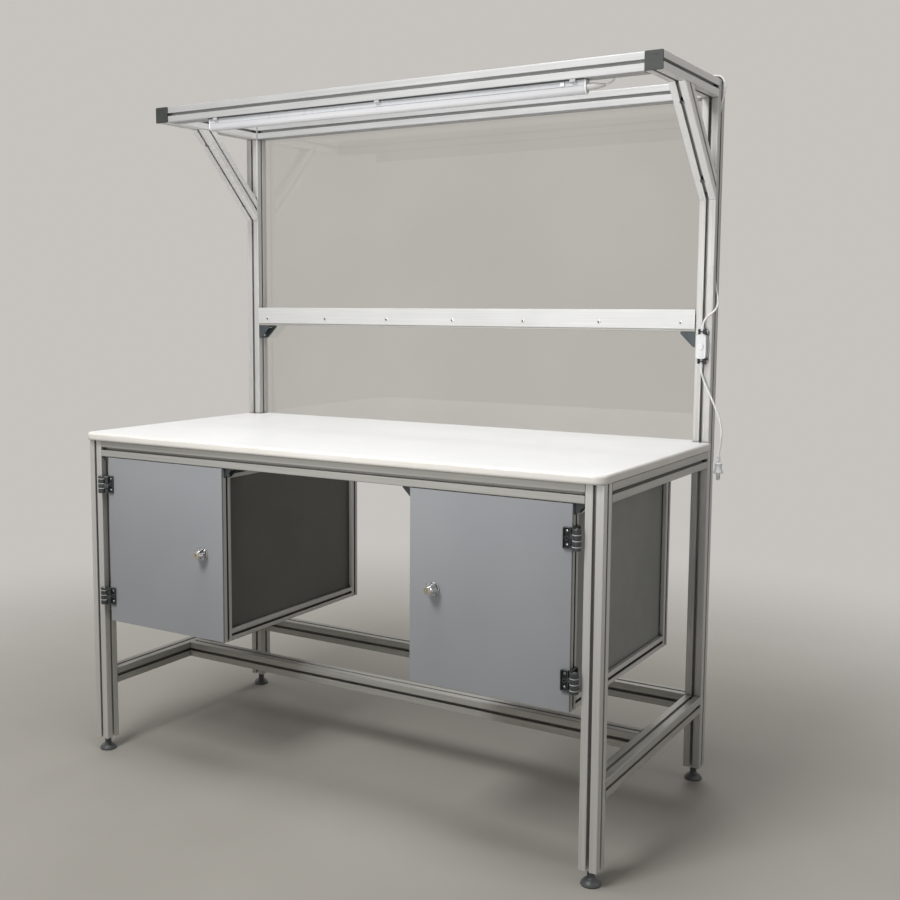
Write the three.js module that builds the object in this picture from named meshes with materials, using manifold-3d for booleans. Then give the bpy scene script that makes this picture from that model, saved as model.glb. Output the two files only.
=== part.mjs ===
// Workbench with two hung cabinets, a lit canopy, a clear back panel and a hanging rail.
// Millimetres, +Z up, front towards -Y. The origin is on the floor under the middle of the bench.

import * as THREE from 'three';
import { mergeVertices } from 'three/addons/utils/BufferGeometryUtils.js';
import Module from 'manifold-3d';

const wasm = await Module();
wasm.setup();

// Main frame of square slotted bar
const BAR = 45;
const FRAME_WIDTH = 1564;
const FRAME_DEPTH = 756;
const FOOT_HEIGHT = 38;
const LEG_LENGTH = 874;
const POST_LENGTH = 1837;
const BASE_RAIL_UNDERSIDE = 195;
const ARM_LENGTH = 415;
const BRACE_REACH = 261;
const BRACE_HOLE_RADIUS = 7;
const BRACE_HOLE_INSET = 62;
const BRACE_HOLE_DEPTH = 20;
const BUTT_GAP = 0.3;
const JOIN_BITE = 0.4;

// Sections of the two slotted bars, as distances from a face inwards and from the slot's middle
const FRAME_SECTION = {
  size: BAR, corner: 2, opening: 4.2, lip: 3.5, cavity: 10.2, shoulder: 9.5, floor: 5, depth: 14.5,
};
const SLIM_BAR = 30;
const SLIM_POST_SECTION = { size: SLIM_BAR, corner: 1.5, opening: 4.1, depth: 9 };
const SLIM_RAIL_SECTION = { size: SLIM_BAR - 0.4, corner: 1.5, opening: 3.9, depth: 8.8 };
const CORE_RADIUS = 5.5;
const CORNER_STEPS = 2;
const ROUND_STEPS = 16;

// Worktop and clear back panel
const WORKTOP_THICKNESS = 22;
const WORKTOP_OVERHANG_FRONT = 18;
const WORKTOP_OVERHANG_SIDE = 6;
const WORKTOP_CORNER = 30;
const WORKTOP_EDGE = 5;
const POST_CLEARANCE = 1;
const PANEL_THICKNESS = 4;

// Hanging crossbar with its rail strip and gusset brackets
const CROSSBAR_UNDERSIDE = 1227;
const RAIL_HEIGHT = 51;
const RAIL_THICKNESS = 3;
const RAIL_LIP = 13;
const BRACKET_SIZE = 41;
const BRACKET_WALL = 8;

// Cabinets, doors, knobs and hinges
const CABINET_INNER = 292;
const CABINET_OUTER = 709;
const CABINET_DEPTH = 629;
const CABINET_UNDERSIDE = 394;
const CABINET_DROP = 0.8;
const SHEET = 4;
const SHEET_IN_SLOT = 6;
const DOOR_THICKNESS = 6;
const DOOR_UNDERSIDE = 395.5;
const DOOR_HEIGHT = 470;
const KNOB_INSET = 66.5;
const KNOB_RADIUS = 16.2;
const KNOB_LOBE = 2.2;
const KNOB_LOBES = 6;
const KNOB_NOSE = 11.5;
const KNOB_LENGTH = 31;
const GRIP_LENGTH = 18;
const BOSS_RADIUS = 9.3;
const BOSS_LENGTH = 3;
const NECK_RADIUS = 12;
const ROSETTE_THICKNESS = 4;
const SHAFT_RADIUS = 6;
const CAM_LENGTH = 46;
const CAM_WIDTH = 14;
const CAM_THICKNESS = 3;
const CAM_CLEARANCE = 2;
const HINGE_HEIGHT = 49;
const HINGE_BARREL = 10.5;
const HINGE_PIN = 3;
const HINGE_PLATE = 6;
const HINGE_OUTSET = 15.8;
const HINGE_PROUD = 10.9;
const HINGE_JOINTS = [11, -2.5, -16];
const HINGE_GAP = 0.4;
const LEAF_REACH = 20.5;
const LEAF_CLEARANCE = 1;
const LEAF_SETBACK = 3;
const ARM_ROOT = 4;
const HINGE_HEIGHTS = [468.5, 789.5];

// Lamp under the canopy, its lead, the inline switch and the plug
const LAMP_LENGTH = 1175;
const LAMP_WIDTH = 23;
const LAMP_HEIGHT = 33;
const LAMP_HOUSING_HEIGHT = 14;
const LAMP_GAP = 1.5;
const LAMP_WALL = 2;
const LAMP_END = 4;
const LAMP_BUTTON_X = 527;
const BUTTON_PROUD = 2.5;
const BUTTON_TRAVEL = 2;
const SWITCH_WIDTH = 26;
const SWITCH_HEIGHT = 63;
const SWITCH_DEPTH = 20;
const SWITCH_MIDDLE = 1188.5;
const SWITCH_BUTTON_RADIUS = 8;
const CORD_DIAMETER = 5.5;
const CORD_SIDES = 8;
const PLUG_TOP = 902;
const PLUG_X = 813;

// Levelling feet
const PAD_RADIUS = 23.5;
const PAD_HEIGHT = 18;
const STUD_RADIUS = 5;
const STUD_IN_LEG = 42;

// Places worked out from the driving dimensions
const SIDE = FRAME_WIDTH / 2;
const INSIDE = SIDE - BAR;
const FRONT = -FRAME_DEPTH / 2;
const BACK = FRAME_DEPTH / 2;
const POST_FRONT = BACK - BAR;
const LEG_BACK = FRONT + BAR;
const LEG_TOP = FOOT_HEIGHT + LEG_LENGTH;
const POST_TOP = FOOT_HEIGHT + POST_LENGTH;
const APRON_UNDERSIDE = LEG_TOP - BAR;
const ARM_UNDERSIDE = POST_TOP - BAR;
const ARM_FRONT = POST_FRONT - ARM_LENGTH;
const CABINET_FRONT = FRONT + DOOR_THICKNESS;
const CABINET_BACK = CABINET_FRONT + CABINET_DEPTH;
const CABINET_TOP = APRON_UNDERSIDE - CABINET_DROP;
const DOOR_FRONT = CABINET_FRONT - BUTT_GAP - DOOR_THICKNESS;
const KNOB_FRONT = DOOR_FRONT - KNOB_LENGTH;
const PANEL_BACK = BACK + BUTT_GAP + PANEL_THICKNESS;
const LAMP_Y = ARM_FRONT + BAR / 2;
const LAMP_TOP = ARM_UNDERSIDE - LAMP_GAP;
const SWITCH_X = SIDE - BAR / 2;
const SWITCH_Y = POST_FRONT - BUTT_GAP - SWITCH_DEPTH / 2;
const BOX_MIDDLE_Y = (KNOB_FRONT + PANEL_BACK) / 2;

// Colours and finishes
function finish(color, roughness, metalness) {
  return new THREE.MeshStandardMaterial({ color, roughness, metalness });
}

const ALUMINIUM = finish(0xb9b9b4, 0.38, 0.9);
const WHITE_LAMINATE = finish(0xefedea, 0.45, 0);
const GREY_SHEET = finish(0x93959a, 0.5, 0.1);
const DARK_PLASTIC = finish(0x33383b, 0.5, 0);
const WHITE_PLASTIC = finish(0xe8e8e4, 0.4, 0);
const CHROME = finish(0xd4d4d2, 0.15, 1);
const CLEAR_SHEET = new THREE.MeshStandardMaterial({
  color: 0xe6ebea, roughness: 0.05, metalness: 0, transparent: true, opacity: 0.25,
});

const bench = new THREE.Group();
bench.position.y = -BOX_MIDDLE_Y;

function add(name, geometry, material, position = [0, 0, 0]) {
  const mesh = new THREE.Mesh(geometry, material);
  mesh.name = name;
  mesh.position.set(...position);
  bench.add(mesh);
  return mesh;
}

// Outlines
const outline = (points) => new THREE.Shape(points.map(([x, y]) => new THREE.Vector2(x, y)));

function arc(x, y, radius, from, to, steps) {
  const points = [];
  for (let i = 0; i <= steps; i += 1) {
    const angle = THREE.MathUtils.degToRad(from + ((to - from) * i) / steps);
    points.push([x + radius * Math.cos(angle), y + radius * Math.sin(angle)]);
  }
  return points;
}

const circle = (x, y, radius, steps = ROUND_STEPS) => arc(x, y, radius, 0, 360 - 360 / steps, steps - 1);

function rectangle(left, low, right, high) {
  return outline([[left, low], [right, low], [right, high], [left, high]]);
}

function turned([x, y], quarterTurns) {
  const corners = [[x, y], [-y, x], [-x, -y], [y, -x]];
  return corners[quarterTurns];
}

// One side of a bar's section: the corner before it, then its slot
function barSide({ size, corner, opening, lip, cavity, shoulder, floor, depth }) {
  const half = size / 2;
  const start = arc(half - corner, corner - half, corner, -90, 0, CORNER_STEPS);
  const halfSlot = lip
    ? [[0, opening], [lip, opening], [lip, cavity], [shoulder, cavity], [depth, floor]]
    : [[0, opening], [depth, opening]];
  const lower = halfSlot.map(([inwards, sideways]) => [half - inwards, -sideways]);
  const upper = halfSlot.map(([inwards, sideways]) => [half - inwards, sideways]).reverse();
  return [...start, ...lower, ...upper];
}

function barShape(section, coreRadius = 0) {
  const side = barSide(section);
  const points = [0, 1, 2, 3].flatMap((quarter) => side.map((point) => turned(point, quarter)));
  const shape = outline(points);
  if (coreRadius > 0) shape.holes.push(outline(circle(0, 0, coreRadius)));
  return shape;
}

// Solids: an outline drawn in one plane and drawn out square to it
const X = new THREE.Vector3(1, 0, 0);
const Y = new THREE.Vector3(0, 1, 0);
const Z = new THREE.Vector3(0, 0, 1);
const PLANES = {
  xy: new THREE.Matrix4(),
  xz: new THREE.Matrix4().makeBasis(X, Z, Y.clone().negate()),
  yz: new THREE.Matrix4().makeBasis(Y, Z, X),
};
const BAR_PLANES = { x: 'yz', y: 'xz', z: 'xy' };

function drawnOut(shape, plane, length) {
  const geometry = new THREE.ExtrudeGeometry(shape, { depth: length, bevelEnabled: false });
  geometry.translate(0, 0, -length / 2);
  return geometry.applyMatrix4(PLANES[plane]);
}

const barGeometry = (shape, axis, length) => drawnOut(shape, BAR_PLANES[axis], length);

function block(low, high) {
  const [x, y, z] = low.map((value, i) => high[i] - value);
  const geometry = new THREE.BoxGeometry(x, y, z);
  return geometry.translate((low[0] + high[0]) / 2, (low[1] + high[1]) / 2, (low[2] + high[2]) / 2);
}

// A block whose two x limits are given for the right side and mirrored for the left
function sidedBlock(side, low, high) {
  const xs = [side * low[0], side * high[0]].sort((a, b) => a - b);
  return block([xs[0], low[1], low[2]], [xs[1], high[1], high[2]]);
}

function rodY(radius, from, to, x, z, steps = ROUND_STEPS) {
  const rod = drawnOut(outline(circle(0, 0, radius, steps)), 'xz', to - from);
  return rod.translate(x, (from + to) / 2, z);
}

function rodZ(radius, from, to, x, y) {
  const rod = drawnOut(outline(circle(0, 0, radius)), 'xy', to - from);
  return rod.translate(x, y, (from + to) / 2);
}

// Joining and cutting
function solid(geometry) {
  const bare = geometry.clone();
  bare.deleteAttribute('normal');
  bare.deleteAttribute('uv');
  const merged = mergeVertices(bare, 1e-4);
  return new wasm.Manifold(new wasm.Mesh({
    numProp: 3,
    vertProperties: new Float32Array(merged.attributes.position.array),
    triVerts: new Uint32Array(merged.index.array),
  }));
}

function geometryOf(body) {
  const { vertProperties, triVerts } = body.getMesh();
  const geometry = new THREE.BufferGeometry();
  geometry.setAttribute('position', new THREE.BufferAttribute(new Float32Array(vertProperties), 3));
  geometry.setIndex(new THREE.BufferAttribute(new Uint32Array(triVerts), 1));
  geometry.computeVertexNormals();
  return geometry;
}

const joined = (geometries) => geometries.map(solid).reduce((whole, next) => whole.add(next));
const cut = (body, geometries) => geometries.map(solid).reduce((whole, next) => whole.subtract(next), body);

// Main frame
const FRAME_BAR = barShape(FRAME_SECTION);
const CORED_BAR = barShape(FRAME_SECTION, CORE_RADIUS);

function addBar(name, axis, length, middle, shape = FRAME_BAR) {
  add(name, barGeometry(shape, axis, length), ALUMINIUM, middle);
}

const SIDES = [['left', -1], ['right', 1]];
const LEG_MIDDLE_X = SIDE - BAR / 2;
const LEG_MIDDLE_Y = FRONT + BAR / 2;
const POST_MIDDLE_Y = BACK - BAR / 2;
const BETWEEN_LEGS = 2 * INSIDE - 2 * BUTT_GAP;
const LEG_TO_POST = POST_FRONT - LEG_BACK - 2 * BUTT_GAP;
const APRON_Z = LEG_TOP - BAR / 2;
const BASE_Z = BASE_RAIL_UNDERSIDE + BAR / 2;
const CANOPY_Z = POST_TOP - BAR / 2;
const BEARER_Y = CABINET_BACK - BAR / 2;

for (const [word, side] of SIDES) {
  const x = side * LEG_MIDDLE_X;
  addBar(`front_${word}_leg`, 'z', LEG_LENGTH, [x, LEG_MIDDLE_Y, FOOT_HEIGHT + LEG_LENGTH / 2], CORED_BAR);
  addBar(`rear_${word}_post`, 'z', POST_LENGTH, [x, POST_MIDDLE_Y, FOOT_HEIGHT + POST_LENGTH / 2], CORED_BAR);
  addBar(`${word}_apron`, 'y', LEG_TO_POST, [x, 0, APRON_Z]);
  addBar(`${word}_base_rail`, 'y', LEG_TO_POST, [x, 0, BASE_Z]);
  addBar(`${word}_arm`, 'y', ARM_LENGTH - BUTT_GAP, [x, (ARM_FRONT + POST_FRONT - BUTT_GAP) / 2, CANOPY_Z]);
}
addBar('front_apron', 'x', BETWEEN_LEGS, [0, LEG_MIDDLE_Y, APRON_Z]);
addBar('rear_apron', 'x', BETWEEN_LEGS, [0, POST_MIDDLE_Y, APRON_Z]);
addBar('worktop_bearer', 'x', BETWEEN_LEGS, [0, BEARER_Y, APRON_Z]);
addBar('middle_stretcher', 'x', BETWEEN_LEGS, [0, 0, BASE_Z]);
addBar('rear_stretcher', 'x', BETWEEN_LEGS, [0, POST_MIDDLE_Y, BASE_Z]);
addBar('canopy_front_rail', 'x', BETWEEN_LEGS, [0, LAMP_Y, CANOPY_Z]);
addBar('canopy_rear_rail', 'x', BETWEEN_LEGS, [0, POST_MIDDLE_Y, CANOPY_Z]);
addBar('hanging_crossbar', 'x', BETWEEN_LEGS, [0, POST_MIDDLE_Y, CROSSBAR_UNDERSIDE + BAR / 2]);

// Braces at 45 degrees, mitred against the arm and the post, with two holes for the bolts' key
function braceGeometry() {
  const slope = BRACE_REACH * Math.SQRT2;
  const halfway = BAR / 2 / Math.SQRT2 - BRACE_REACH / 2;
  const tilted = (geometry) => geometry
    .rotateX(-0.75 * Math.PI)
    .translate(0, POST_FRONT + halfway, ARM_UNDERSIDE + halfway);
  const bar = tilted(barGeometry(FRAME_BAR, 'z', slope + 2 * BAR));
  const corner = block(
    [-BAR, POST_FRONT - 2 * BRACE_REACH, ARM_UNDERSIDE - 2 * BRACE_REACH],
    [BAR, POST_FRONT - BUTT_GAP, ARM_UNDERSIDE - BUTT_GAP],
  );
  const holes = [-1, 1].map((end) => {
    const along = end * (slope / 2 - BRACE_HOLE_INSET);
    return tilted(rodY(BRACE_HOLE_RADIUS, BAR / 2 - BRACE_HOLE_DEPTH, BAR, 0, along));
  });
  return geometryOf(cut(solid(bar).intersect(solid(corner)), holes));
}
for (const [word, side] of SIDES) {
  add(`${word}_brace`, braceGeometry(), ALUMINIUM, [side * LEG_MIDDLE_X, 0, 0]);
}

// Gusset brackets under the crossbar's ends and the strip screwed to its front slot
function bracketShape(side) {
  const tip = BRACKET_SIZE;
  const wall = BRACKET_WALL;
  return outline([[0, 0], [0, -tip], [wall, -tip], [tip, -wall], [tip, 0]].map(([x, y]) => [-side * x, y]));
}
for (const [word, side] of SIDES) {
  const bracket = drawnOut(bracketShape(side), 'xz', BRACKET_SIZE);
  const place = [side * (INSIDE - BUTT_GAP), POST_MIDDLE_Y, CROSSBAR_UNDERSIDE - BUTT_GAP];
  add(`${word}_crossbar_bracket`, bracket, DARK_PLASTIC, place);
}
const RAIL_TOP = CROSSBAR_UNDERSIDE + BAR + RAIL_LIP;
add('hanging_rail', block(
  [-INSIDE + 1, POST_FRONT - BUTT_GAP - RAIL_THICKNESS, RAIL_TOP - RAIL_HEIGHT],
  [INSIDE - 1, POST_FRONT - BUTT_GAP, RAIL_TOP],
), ALUMINIUM);

// Worktop with rounded edges and front corners, reaching back between the posts
function worktopGeometry() {
  const reach = SIDE + WORKTOP_OVERHANG_SIDE - WORKTOP_EDGE;
  const front = FRONT - WORKTOP_OVERHANG_FRONT + WORKTOP_EDGE;
  const radius = WORKTOP_CORNER - WORKTOP_EDGE;
  const shoulder = POST_FRONT - POST_CLEARANCE - WORKTOP_EDGE;
  const neck = INSIDE - POST_CLEARANCE - WORKTOP_EDGE;
  const shape = outline([
    ...arc(radius - reach, front + radius, radius, 180, 270, 6),
    ...arc(reach - radius, front + radius, radius, 270, 360, 6),
    [reach, shoulder], [neck, shoulder], [neck, BACK - WORKTOP_EDGE],
    [-neck, BACK - WORKTOP_EDGE], [-neck, shoulder], [-reach, shoulder],
  ]);
  return new THREE.ExtrudeGeometry(shape, {
    depth: WORKTOP_THICKNESS - 2 * WORKTOP_EDGE,
    bevelSize: WORKTOP_EDGE,
    bevelThickness: WORKTOP_EDGE,
    bevelSegments: 3,
  });
}
add('worktop', worktopGeometry(), WHITE_LAMINATE, [0, 0, LEG_TOP + BUTT_GAP + WORKTOP_EDGE]);

const PANEL_INSET = 1;
add('back_panel', block(
  [-SIDE + PANEL_INSET, BACK + BUTT_GAP, APRON_Z - BAR / 4],
  [SIDE - PANEL_INSET, PANEL_BACK, POST_TOP - PANEL_INSET],
), CLEAR_SHEET);

// Levelling feet: a domed pad with a collar, on a stud that runs up the bar's core
const COLLAR = { radius: 9, top: FOOT_HEIGHT - 8 };
const FOOT_PROFILE = [
  [0, 0], [PAD_RADIUS, 0], [PAD_RADIUS, 4], [PAD_RADIUS - 2.5, 9], [PAD_RADIUS - 8, 14],
  [COLLAR.radius, PAD_HEIGHT], [COLLAR.radius, COLLAR.top], [STUD_RADIUS, COLLAR.top],
  [STUD_RADIUS, FOOT_HEIGHT + STUD_IN_LEG], [0, FOOT_HEIGHT + STUD_IN_LEG],
];

function footGeometry() {
  const foot = new THREE.LatheGeometry(FOOT_PROFILE.map(([x, y]) => new THREE.Vector2(x, y)), ROUND_STEPS);
  return foot.rotateX(Math.PI / 2);
}
for (const [word, side] of SIDES) {
  add(`front_${word}_foot`, footGeometry(), DARK_PLASTIC, [side * LEG_MIDDLE_X, LEG_MIDDLE_Y, 0]);
  add(`rear_${word}_foot`, footGeometry(), DARK_PLASTIC, [side * LEG_MIDDLE_X, POST_MIDDLE_Y, 0]);
}

// Cabinet frames: four posts with rails between them at the top and bottom
const SLIM_POST = barShape(SLIM_POST_SECTION);
const SLIM_RAIL = barShape(SLIM_RAIL_SECTION);
const CABINET_HEIGHT = CABINET_TOP - CABINET_UNDERSIDE;
const CABINET_XS = [CABINET_INNER + SLIM_BAR / 2, CABINET_OUTER - SLIM_BAR / 2];
const CABINET_YS = [CABINET_FRONT + SLIM_BAR / 2, CABINET_BACK - SLIM_BAR / 2];
const CABINET_ZS = [CABINET_UNDERSIDE + SLIM_BAR / 2, CABINET_TOP - SLIM_BAR / 2];
const CABINET_MIDDLE = [CABINET_XS, CABINET_YS, CABINET_ZS].map(([low, high]) => (low + high) / 2);

function cabinetFrame(side) {
  const bars = [];
  const slim = (shape, axis, length, [x, y, z]) => {
    bars.push(barGeometry(shape, axis, length).translate(side * x, y, z));
  };
  const acrossLength = CABINET_OUTER - CABINET_INNER - 2 * SLIM_BAR + 2 * JOIN_BITE;
  const deepLength = CABINET_DEPTH - 2 * SLIM_BAR + 2 * JOIN_BITE;
  for (const x of CABINET_XS) {
    for (const y of CABINET_YS) slim(SLIM_POST, 'z', CABINET_HEIGHT, [x, y, CABINET_MIDDLE[2]]);
    for (const z of CABINET_ZS) slim(SLIM_RAIL, 'y', deepLength, [x, CABINET_MIDDLE[1], z]);
  }
  for (const y of CABINET_YS) {
    for (const z of CABINET_ZS) slim(SLIM_RAIL, 'x', acrossLength, [CABINET_MIDDLE[0], y, z]);
  }
  return geometryOf(joined(bars));
}

// Sheets held in the frame's slots
function cabinetSheets(word, side) {
  const inFrame = ([low, high]) => [low + SLIM_BAR / 2 - SHEET_IN_SLOT, high - SLIM_BAR / 2 + SHEET_IN_SLOT];
  const [[x0, x1], [y0, y1], [z0, z1]] = [CABINET_XS, CABINET_YS, CABINET_ZS].map(inFrame);
  const half = SHEET / 2;
  const upright = (x) => sidedBlock(side, [x - half, y0, z0], [x + half, y1, z1]);
  add(`${word}_cabinet_inner_panel`, upright(CABINET_XS[0]), GREY_SHEET);
  add(`${word}_cabinet_outer_panel`, upright(CABINET_XS[1]), GREY_SHEET);
  const backY = CABINET_YS[1];
  const back = sidedBlock(side, [x0, backY - half, z0], [x1, backY + half, z1]);
  add(`${word}_cabinet_back_panel`, back, GREY_SHEET);
  const notch = SHEET_IN_SLOT + 1;
  const corners = [
    [x0 + notch, y0], [x1 - notch, y0], [x1 - notch, y0 + notch], [x1, y0 + notch],
    [x1, y1 - notch], [x1 - notch, y1 - notch], [x1 - notch, y1], [x0 + notch, y1],
    [x0 + notch, y1 - notch], [x0, y1 - notch], [x0, y0 + notch], [x0 + notch, y0 + notch],
  ];
  const floor = drawnOut(outline(corners.map(([x, y]) => [side * x, y])), 'xy', SHEET);
  add(`${word}_cabinet_floor_panel`, floor, GREY_SHEET, [0, 0, CABINET_ZS[0]]);
}

// Door with its knob hole
const KNOB_X = CABINET_INNER + KNOB_INSET;
const KNOB_Z = DOOR_UNDERSIDE + DOOR_HEIGHT / 2;
const HOLE_CLEARANCE = 1;

function doorGeometry(side) {
  const xs = [side * CABINET_INNER, side * CABINET_OUTER].sort((a, b) => a - b);
  const shape = rectangle(xs[0], DOOR_UNDERSIDE, xs[1], DOOR_UNDERSIDE + DOOR_HEIGHT);
  shape.holes.push(outline(circle(side * KNOB_X, KNOB_Z, SHAFT_RADIUS + HOLE_CLEARANCE)));
  return drawnOut(shape, 'xz', DOOR_THICKNESS);
}

// Locking knob: tapered lobed grip, key boss, rosette, shaft and the cam that catches behind the frame
function knobGeometry() {
  const rim = [];
  const steps = KNOB_LOBES * 6;
  for (let i = 0; i < steps; i += 1) {
    const angle = (2 * Math.PI * i) / steps;
    const radius = KNOB_RADIUS + KNOB_LOBE * Math.cos(KNOB_LOBES * angle);
    rim.push([radius * Math.cos(angle), radius * Math.sin(angle)]);
  }
  const seat = DOOR_FRONT - BUTT_GAP;
  const gripFront = KNOB_FRONT + BOSS_LENGTH;
  const gripBack = gripFront + GRIP_LENGTH;
  const camFront = CABINET_FRONT + SLIM_BAR + CAM_CLEARANCE;
  const camBack = camFront + CAM_THICKNESS;
  const lobed = drawnOut(outline(rim), 'xz', GRIP_LENGTH).translate(0, (gripFront + gripBack) / 2, 0);
  const widest = KNOB_RADIUS + KNOB_LOBE + 1;
  const cone = [[0, gripFront - 1], [KNOB_NOSE, gripFront - 1], [widest, gripBack + 1], [0, gripBack + 1]];
  const taper = new THREE.LatheGeometry(cone.map(([x, y]) => new THREE.Vector2(x, y)), 2 * ROUND_STEPS);
  const grip = geometryOf(solid(lobed).intersect(solid(taper)));
  return geometryOf(joined([
    grip,
    rodY(BOSS_RADIUS, KNOB_FRONT, gripFront + JOIN_BITE, 0, 0),
    rodY(NECK_RADIUS, gripBack - JOIN_BITE, seat, 0, 0),
    rodY(KNOB_RADIUS, seat - ROSETTE_THICKNESS, seat, 0, 0),
    rodY(SHAFT_RADIUS, seat - JOIN_BITE, camBack, 0, 0),
    block([-CAM_WIDTH / 2, camFront, -CAM_LENGTH], [CAM_WIDTH / 2, camBack, CAM_WIDTH / 2]),
  ]));
}

// Hinges at the outer front corner: one leaf on the door's face, one on the frame's side with the pin;
// four knuckles that belong to the frame and the door in turn, upside down on the left
const PIN_X = CABINET_OUTER + HINGE_OUTSET;
const PIN_Y = DOOR_FRONT - HINGE_PROUD;
const DOOR_ARM = { below: [-6, -6], above: [-5, 8] };
const FIXED_ARM = { inner: [-8, 0], outer: [4, 8], rise: 6 };

function sidedPrism(side, points, low, high) {
  const prism = drawnOut(outline(points.map(([x, y]) => [side * x, y])), 'xy', high - low);
  return prism.translate(0, 0, (low + high) / 2);
}

function knuckleSpans(side, z, first) {
  const ends = [HINGE_HEIGHT / 2, ...HINGE_JOINTS, -HINGE_HEIGHT / 2];
  const spans = ends.slice(1).map((end, i) => [end + HINGE_GAP / 2, ends[i] - HINGE_GAP / 2]);
  const own = spans.filter((span, i) => i % 2 === first);
  return own.map((span) => span.map((height) => z + side * height).sort((a, b) => a - b));
}

function knuckles(side, z, first, arm) {
  return knuckleSpans(side, z, first).flatMap((span) => [
    sidedPrism(side, arm, ...span),
    rodZ(HINGE_BARREL, ...span, side * PIN_X, PIN_Y),
  ]);
}

function doorLeaf(side, z) {
  const top = z + HINGE_HEIGHT / 2;
  const low = z - HINGE_HEIGHT / 2;
  const back = DOOR_FRONT - BUTT_GAP;
  const front = back - HINGE_PLATE;
  const [inner, outer] = [CABINET_OUTER - LEAF_REACH, CABINET_OUTER - LEAF_CLEARANCE];
  const plate = [[inner, back], [inner, front], [outer, front], [outer, back]];
  const arm = [
    [outer - ARM_ROOT, back], [outer - ARM_ROOT, front],
    [PIN_X + DOOR_ARM.below[0], PIN_Y + DOOR_ARM.below[1]], [PIN_X, PIN_Y],
    [PIN_X + DOOR_ARM.above[0], PIN_Y + DOOR_ARM.above[1]], [outer, back],
  ];
  const leaf = joined([sidedPrism(side, plate, low, top), ...knuckles(side, z, 1, arm)]);
  return geometryOf(cut(leaf, [rodZ(HINGE_PIN + BUTT_GAP, low, top, side * PIN_X, PIN_Y)]));
}

function fixedLeaf(side, z) {
  const top = z + HINGE_HEIGHT / 2;
  const low = z - HINGE_HEIGHT / 2;
  const [face, outer] = [CABINET_OUTER + BUTT_GAP, CABINET_OUTER + BUTT_GAP + HINGE_PLATE];
  const [front, back] = [CABINET_FRONT - LEAF_SETBACK, CABINET_FRONT + SLIM_BAR - LEAF_SETBACK];
  const plate = [[face, front], [outer, front], [outer, back], [face, back]];
  const arm = [
    [face, CABINET_FRONT], [face, PIN_Y + FIXED_ARM.rise],
    [PIN_X + FIXED_ARM.inner[0], PIN_Y + FIXED_ARM.inner[1]], [PIN_X, PIN_Y],
    [PIN_X + FIXED_ARM.outer[0], PIN_Y + FIXED_ARM.outer[1]], [outer, CABINET_FRONT],
  ];
  const pin = rodZ(HINGE_PIN, low, top, side * PIN_X, PIN_Y);
  return geometryOf(joined([sidedPrism(side, plate, low, top), ...knuckles(side, z, 0, arm), pin]));
}

for (const [word, side] of SIDES) {
  add(`${word}_cabinet_frame`, cabinetFrame(side), ALUMINIUM);
  cabinetSheets(word, side);
  add(`${word}_door`, doorGeometry(side), GREY_SHEET, [0, DOOR_FRONT + DOOR_THICKNESS / 2, 0]);
  add(`${word}_knob`, knobGeometry(), CHROME, [side * KNOB_X, 0, KNOB_Z]);
  HINGE_HEIGHTS.forEach((z, i) => {
    const level = ['lower', 'upper'][i];
    add(`${word}_${level}_hinge_fixed_leaf`, fixedLeaf(side, z), DARK_PLASTIC);
    add(`${word}_${level}_hinge_door_leaf`, doorLeaf(side, z), DARK_PLASTIC);
  });
}

// Lamp: housing with end plates, diffuser below it and a push button in its front
const LAMP_LOW = LAMP_TOP - LAMP_HEIGHT;
const SPLIT_Z = LAMP_TOP - LAMP_HOUSING_HEIGHT;
const LAMP_FACE = LAMP_Y - LAMP_WIDTH / 2;
const LAMP_BUTTON = [12, 11];
const LAMP_BUTTON_Z = SPLIT_Z + LAMP_HOUSING_HEIGHT / 2;
const POCKET_DEPTH = BUTTON_TRAVEL + 2;

function lampSection(inset, top) {
  const radius = LAMP_WIDTH / 2 - inset;
  const round = arc(LAMP_Y, LAMP_LOW + LAMP_WIDTH / 2, radius, 180, 360, 8);
  return [...round, [LAMP_Y + radius, top], [LAMP_Y - radius, top]];
}

function lampHousing() {
  const base = rectangle(LAMP_FACE, SPLIT_Z, LAMP_FACE + LAMP_WIDTH, LAMP_TOP);
  const body = drawnOut(base, 'yz', LAMP_LENGTH - 2 * LAMP_END + 1);
  const ends = [-1, 1].map((end) => {
    const plate = drawnOut(outline(lampSection(0, LAMP_TOP)), 'yz', LAMP_END);
    return plate.translate((end * (LAMP_LENGTH - LAMP_END)) / 2, 0, 0);
  });
  const [width, height] = LAMP_BUTTON.map((size) => size / 2 + BUTT_GAP);
  const pocket = block(
    [LAMP_BUTTON_X - width, LAMP_FACE - 1, LAMP_BUTTON_Z - height],
    [LAMP_BUTTON_X + width, LAMP_FACE + POCKET_DEPTH, LAMP_BUTTON_Z + height],
  );
  return geometryOf(cut(joined([body, ...ends]), [pocket]));
}

function lampDiffuser() {
  const top = SPLIT_Z - BUTT_GAP;
  const outer = lampSection(0, top).slice(0, -2);
  const inner = lampSection(LAMP_WALL, top).slice(0, -2).reverse();
  const half = LAMP_WIDTH / 2;
  const shape = outline([
    [LAMP_Y - half, top], ...outer, [LAMP_Y + half, top], [LAMP_Y + half - LAMP_WALL, top],
    ...inner, [LAMP_Y - half + LAMP_WALL, top],
  ]);
  return drawnOut(shape, 'yz', LAMP_LENGTH - 2 * LAMP_END - 2 * BUTT_GAP);
}

add('lamp_housing', lampHousing(), WHITE_PLASTIC);
add('lamp_diffuser', lampDiffuser(), WHITE_PLASTIC);
add('lamp_button', block(
  [LAMP_BUTTON_X - LAMP_BUTTON[0] / 2, LAMP_FACE - BUTTON_PROUD, LAMP_BUTTON_Z - LAMP_BUTTON[1] / 2],
  [LAMP_BUTTON_X + LAMP_BUTTON[0] / 2, LAMP_FACE + 1, LAMP_BUTTON_Z + LAMP_BUTTON[1] / 2],
), WHITE_PLASTIC);

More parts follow.
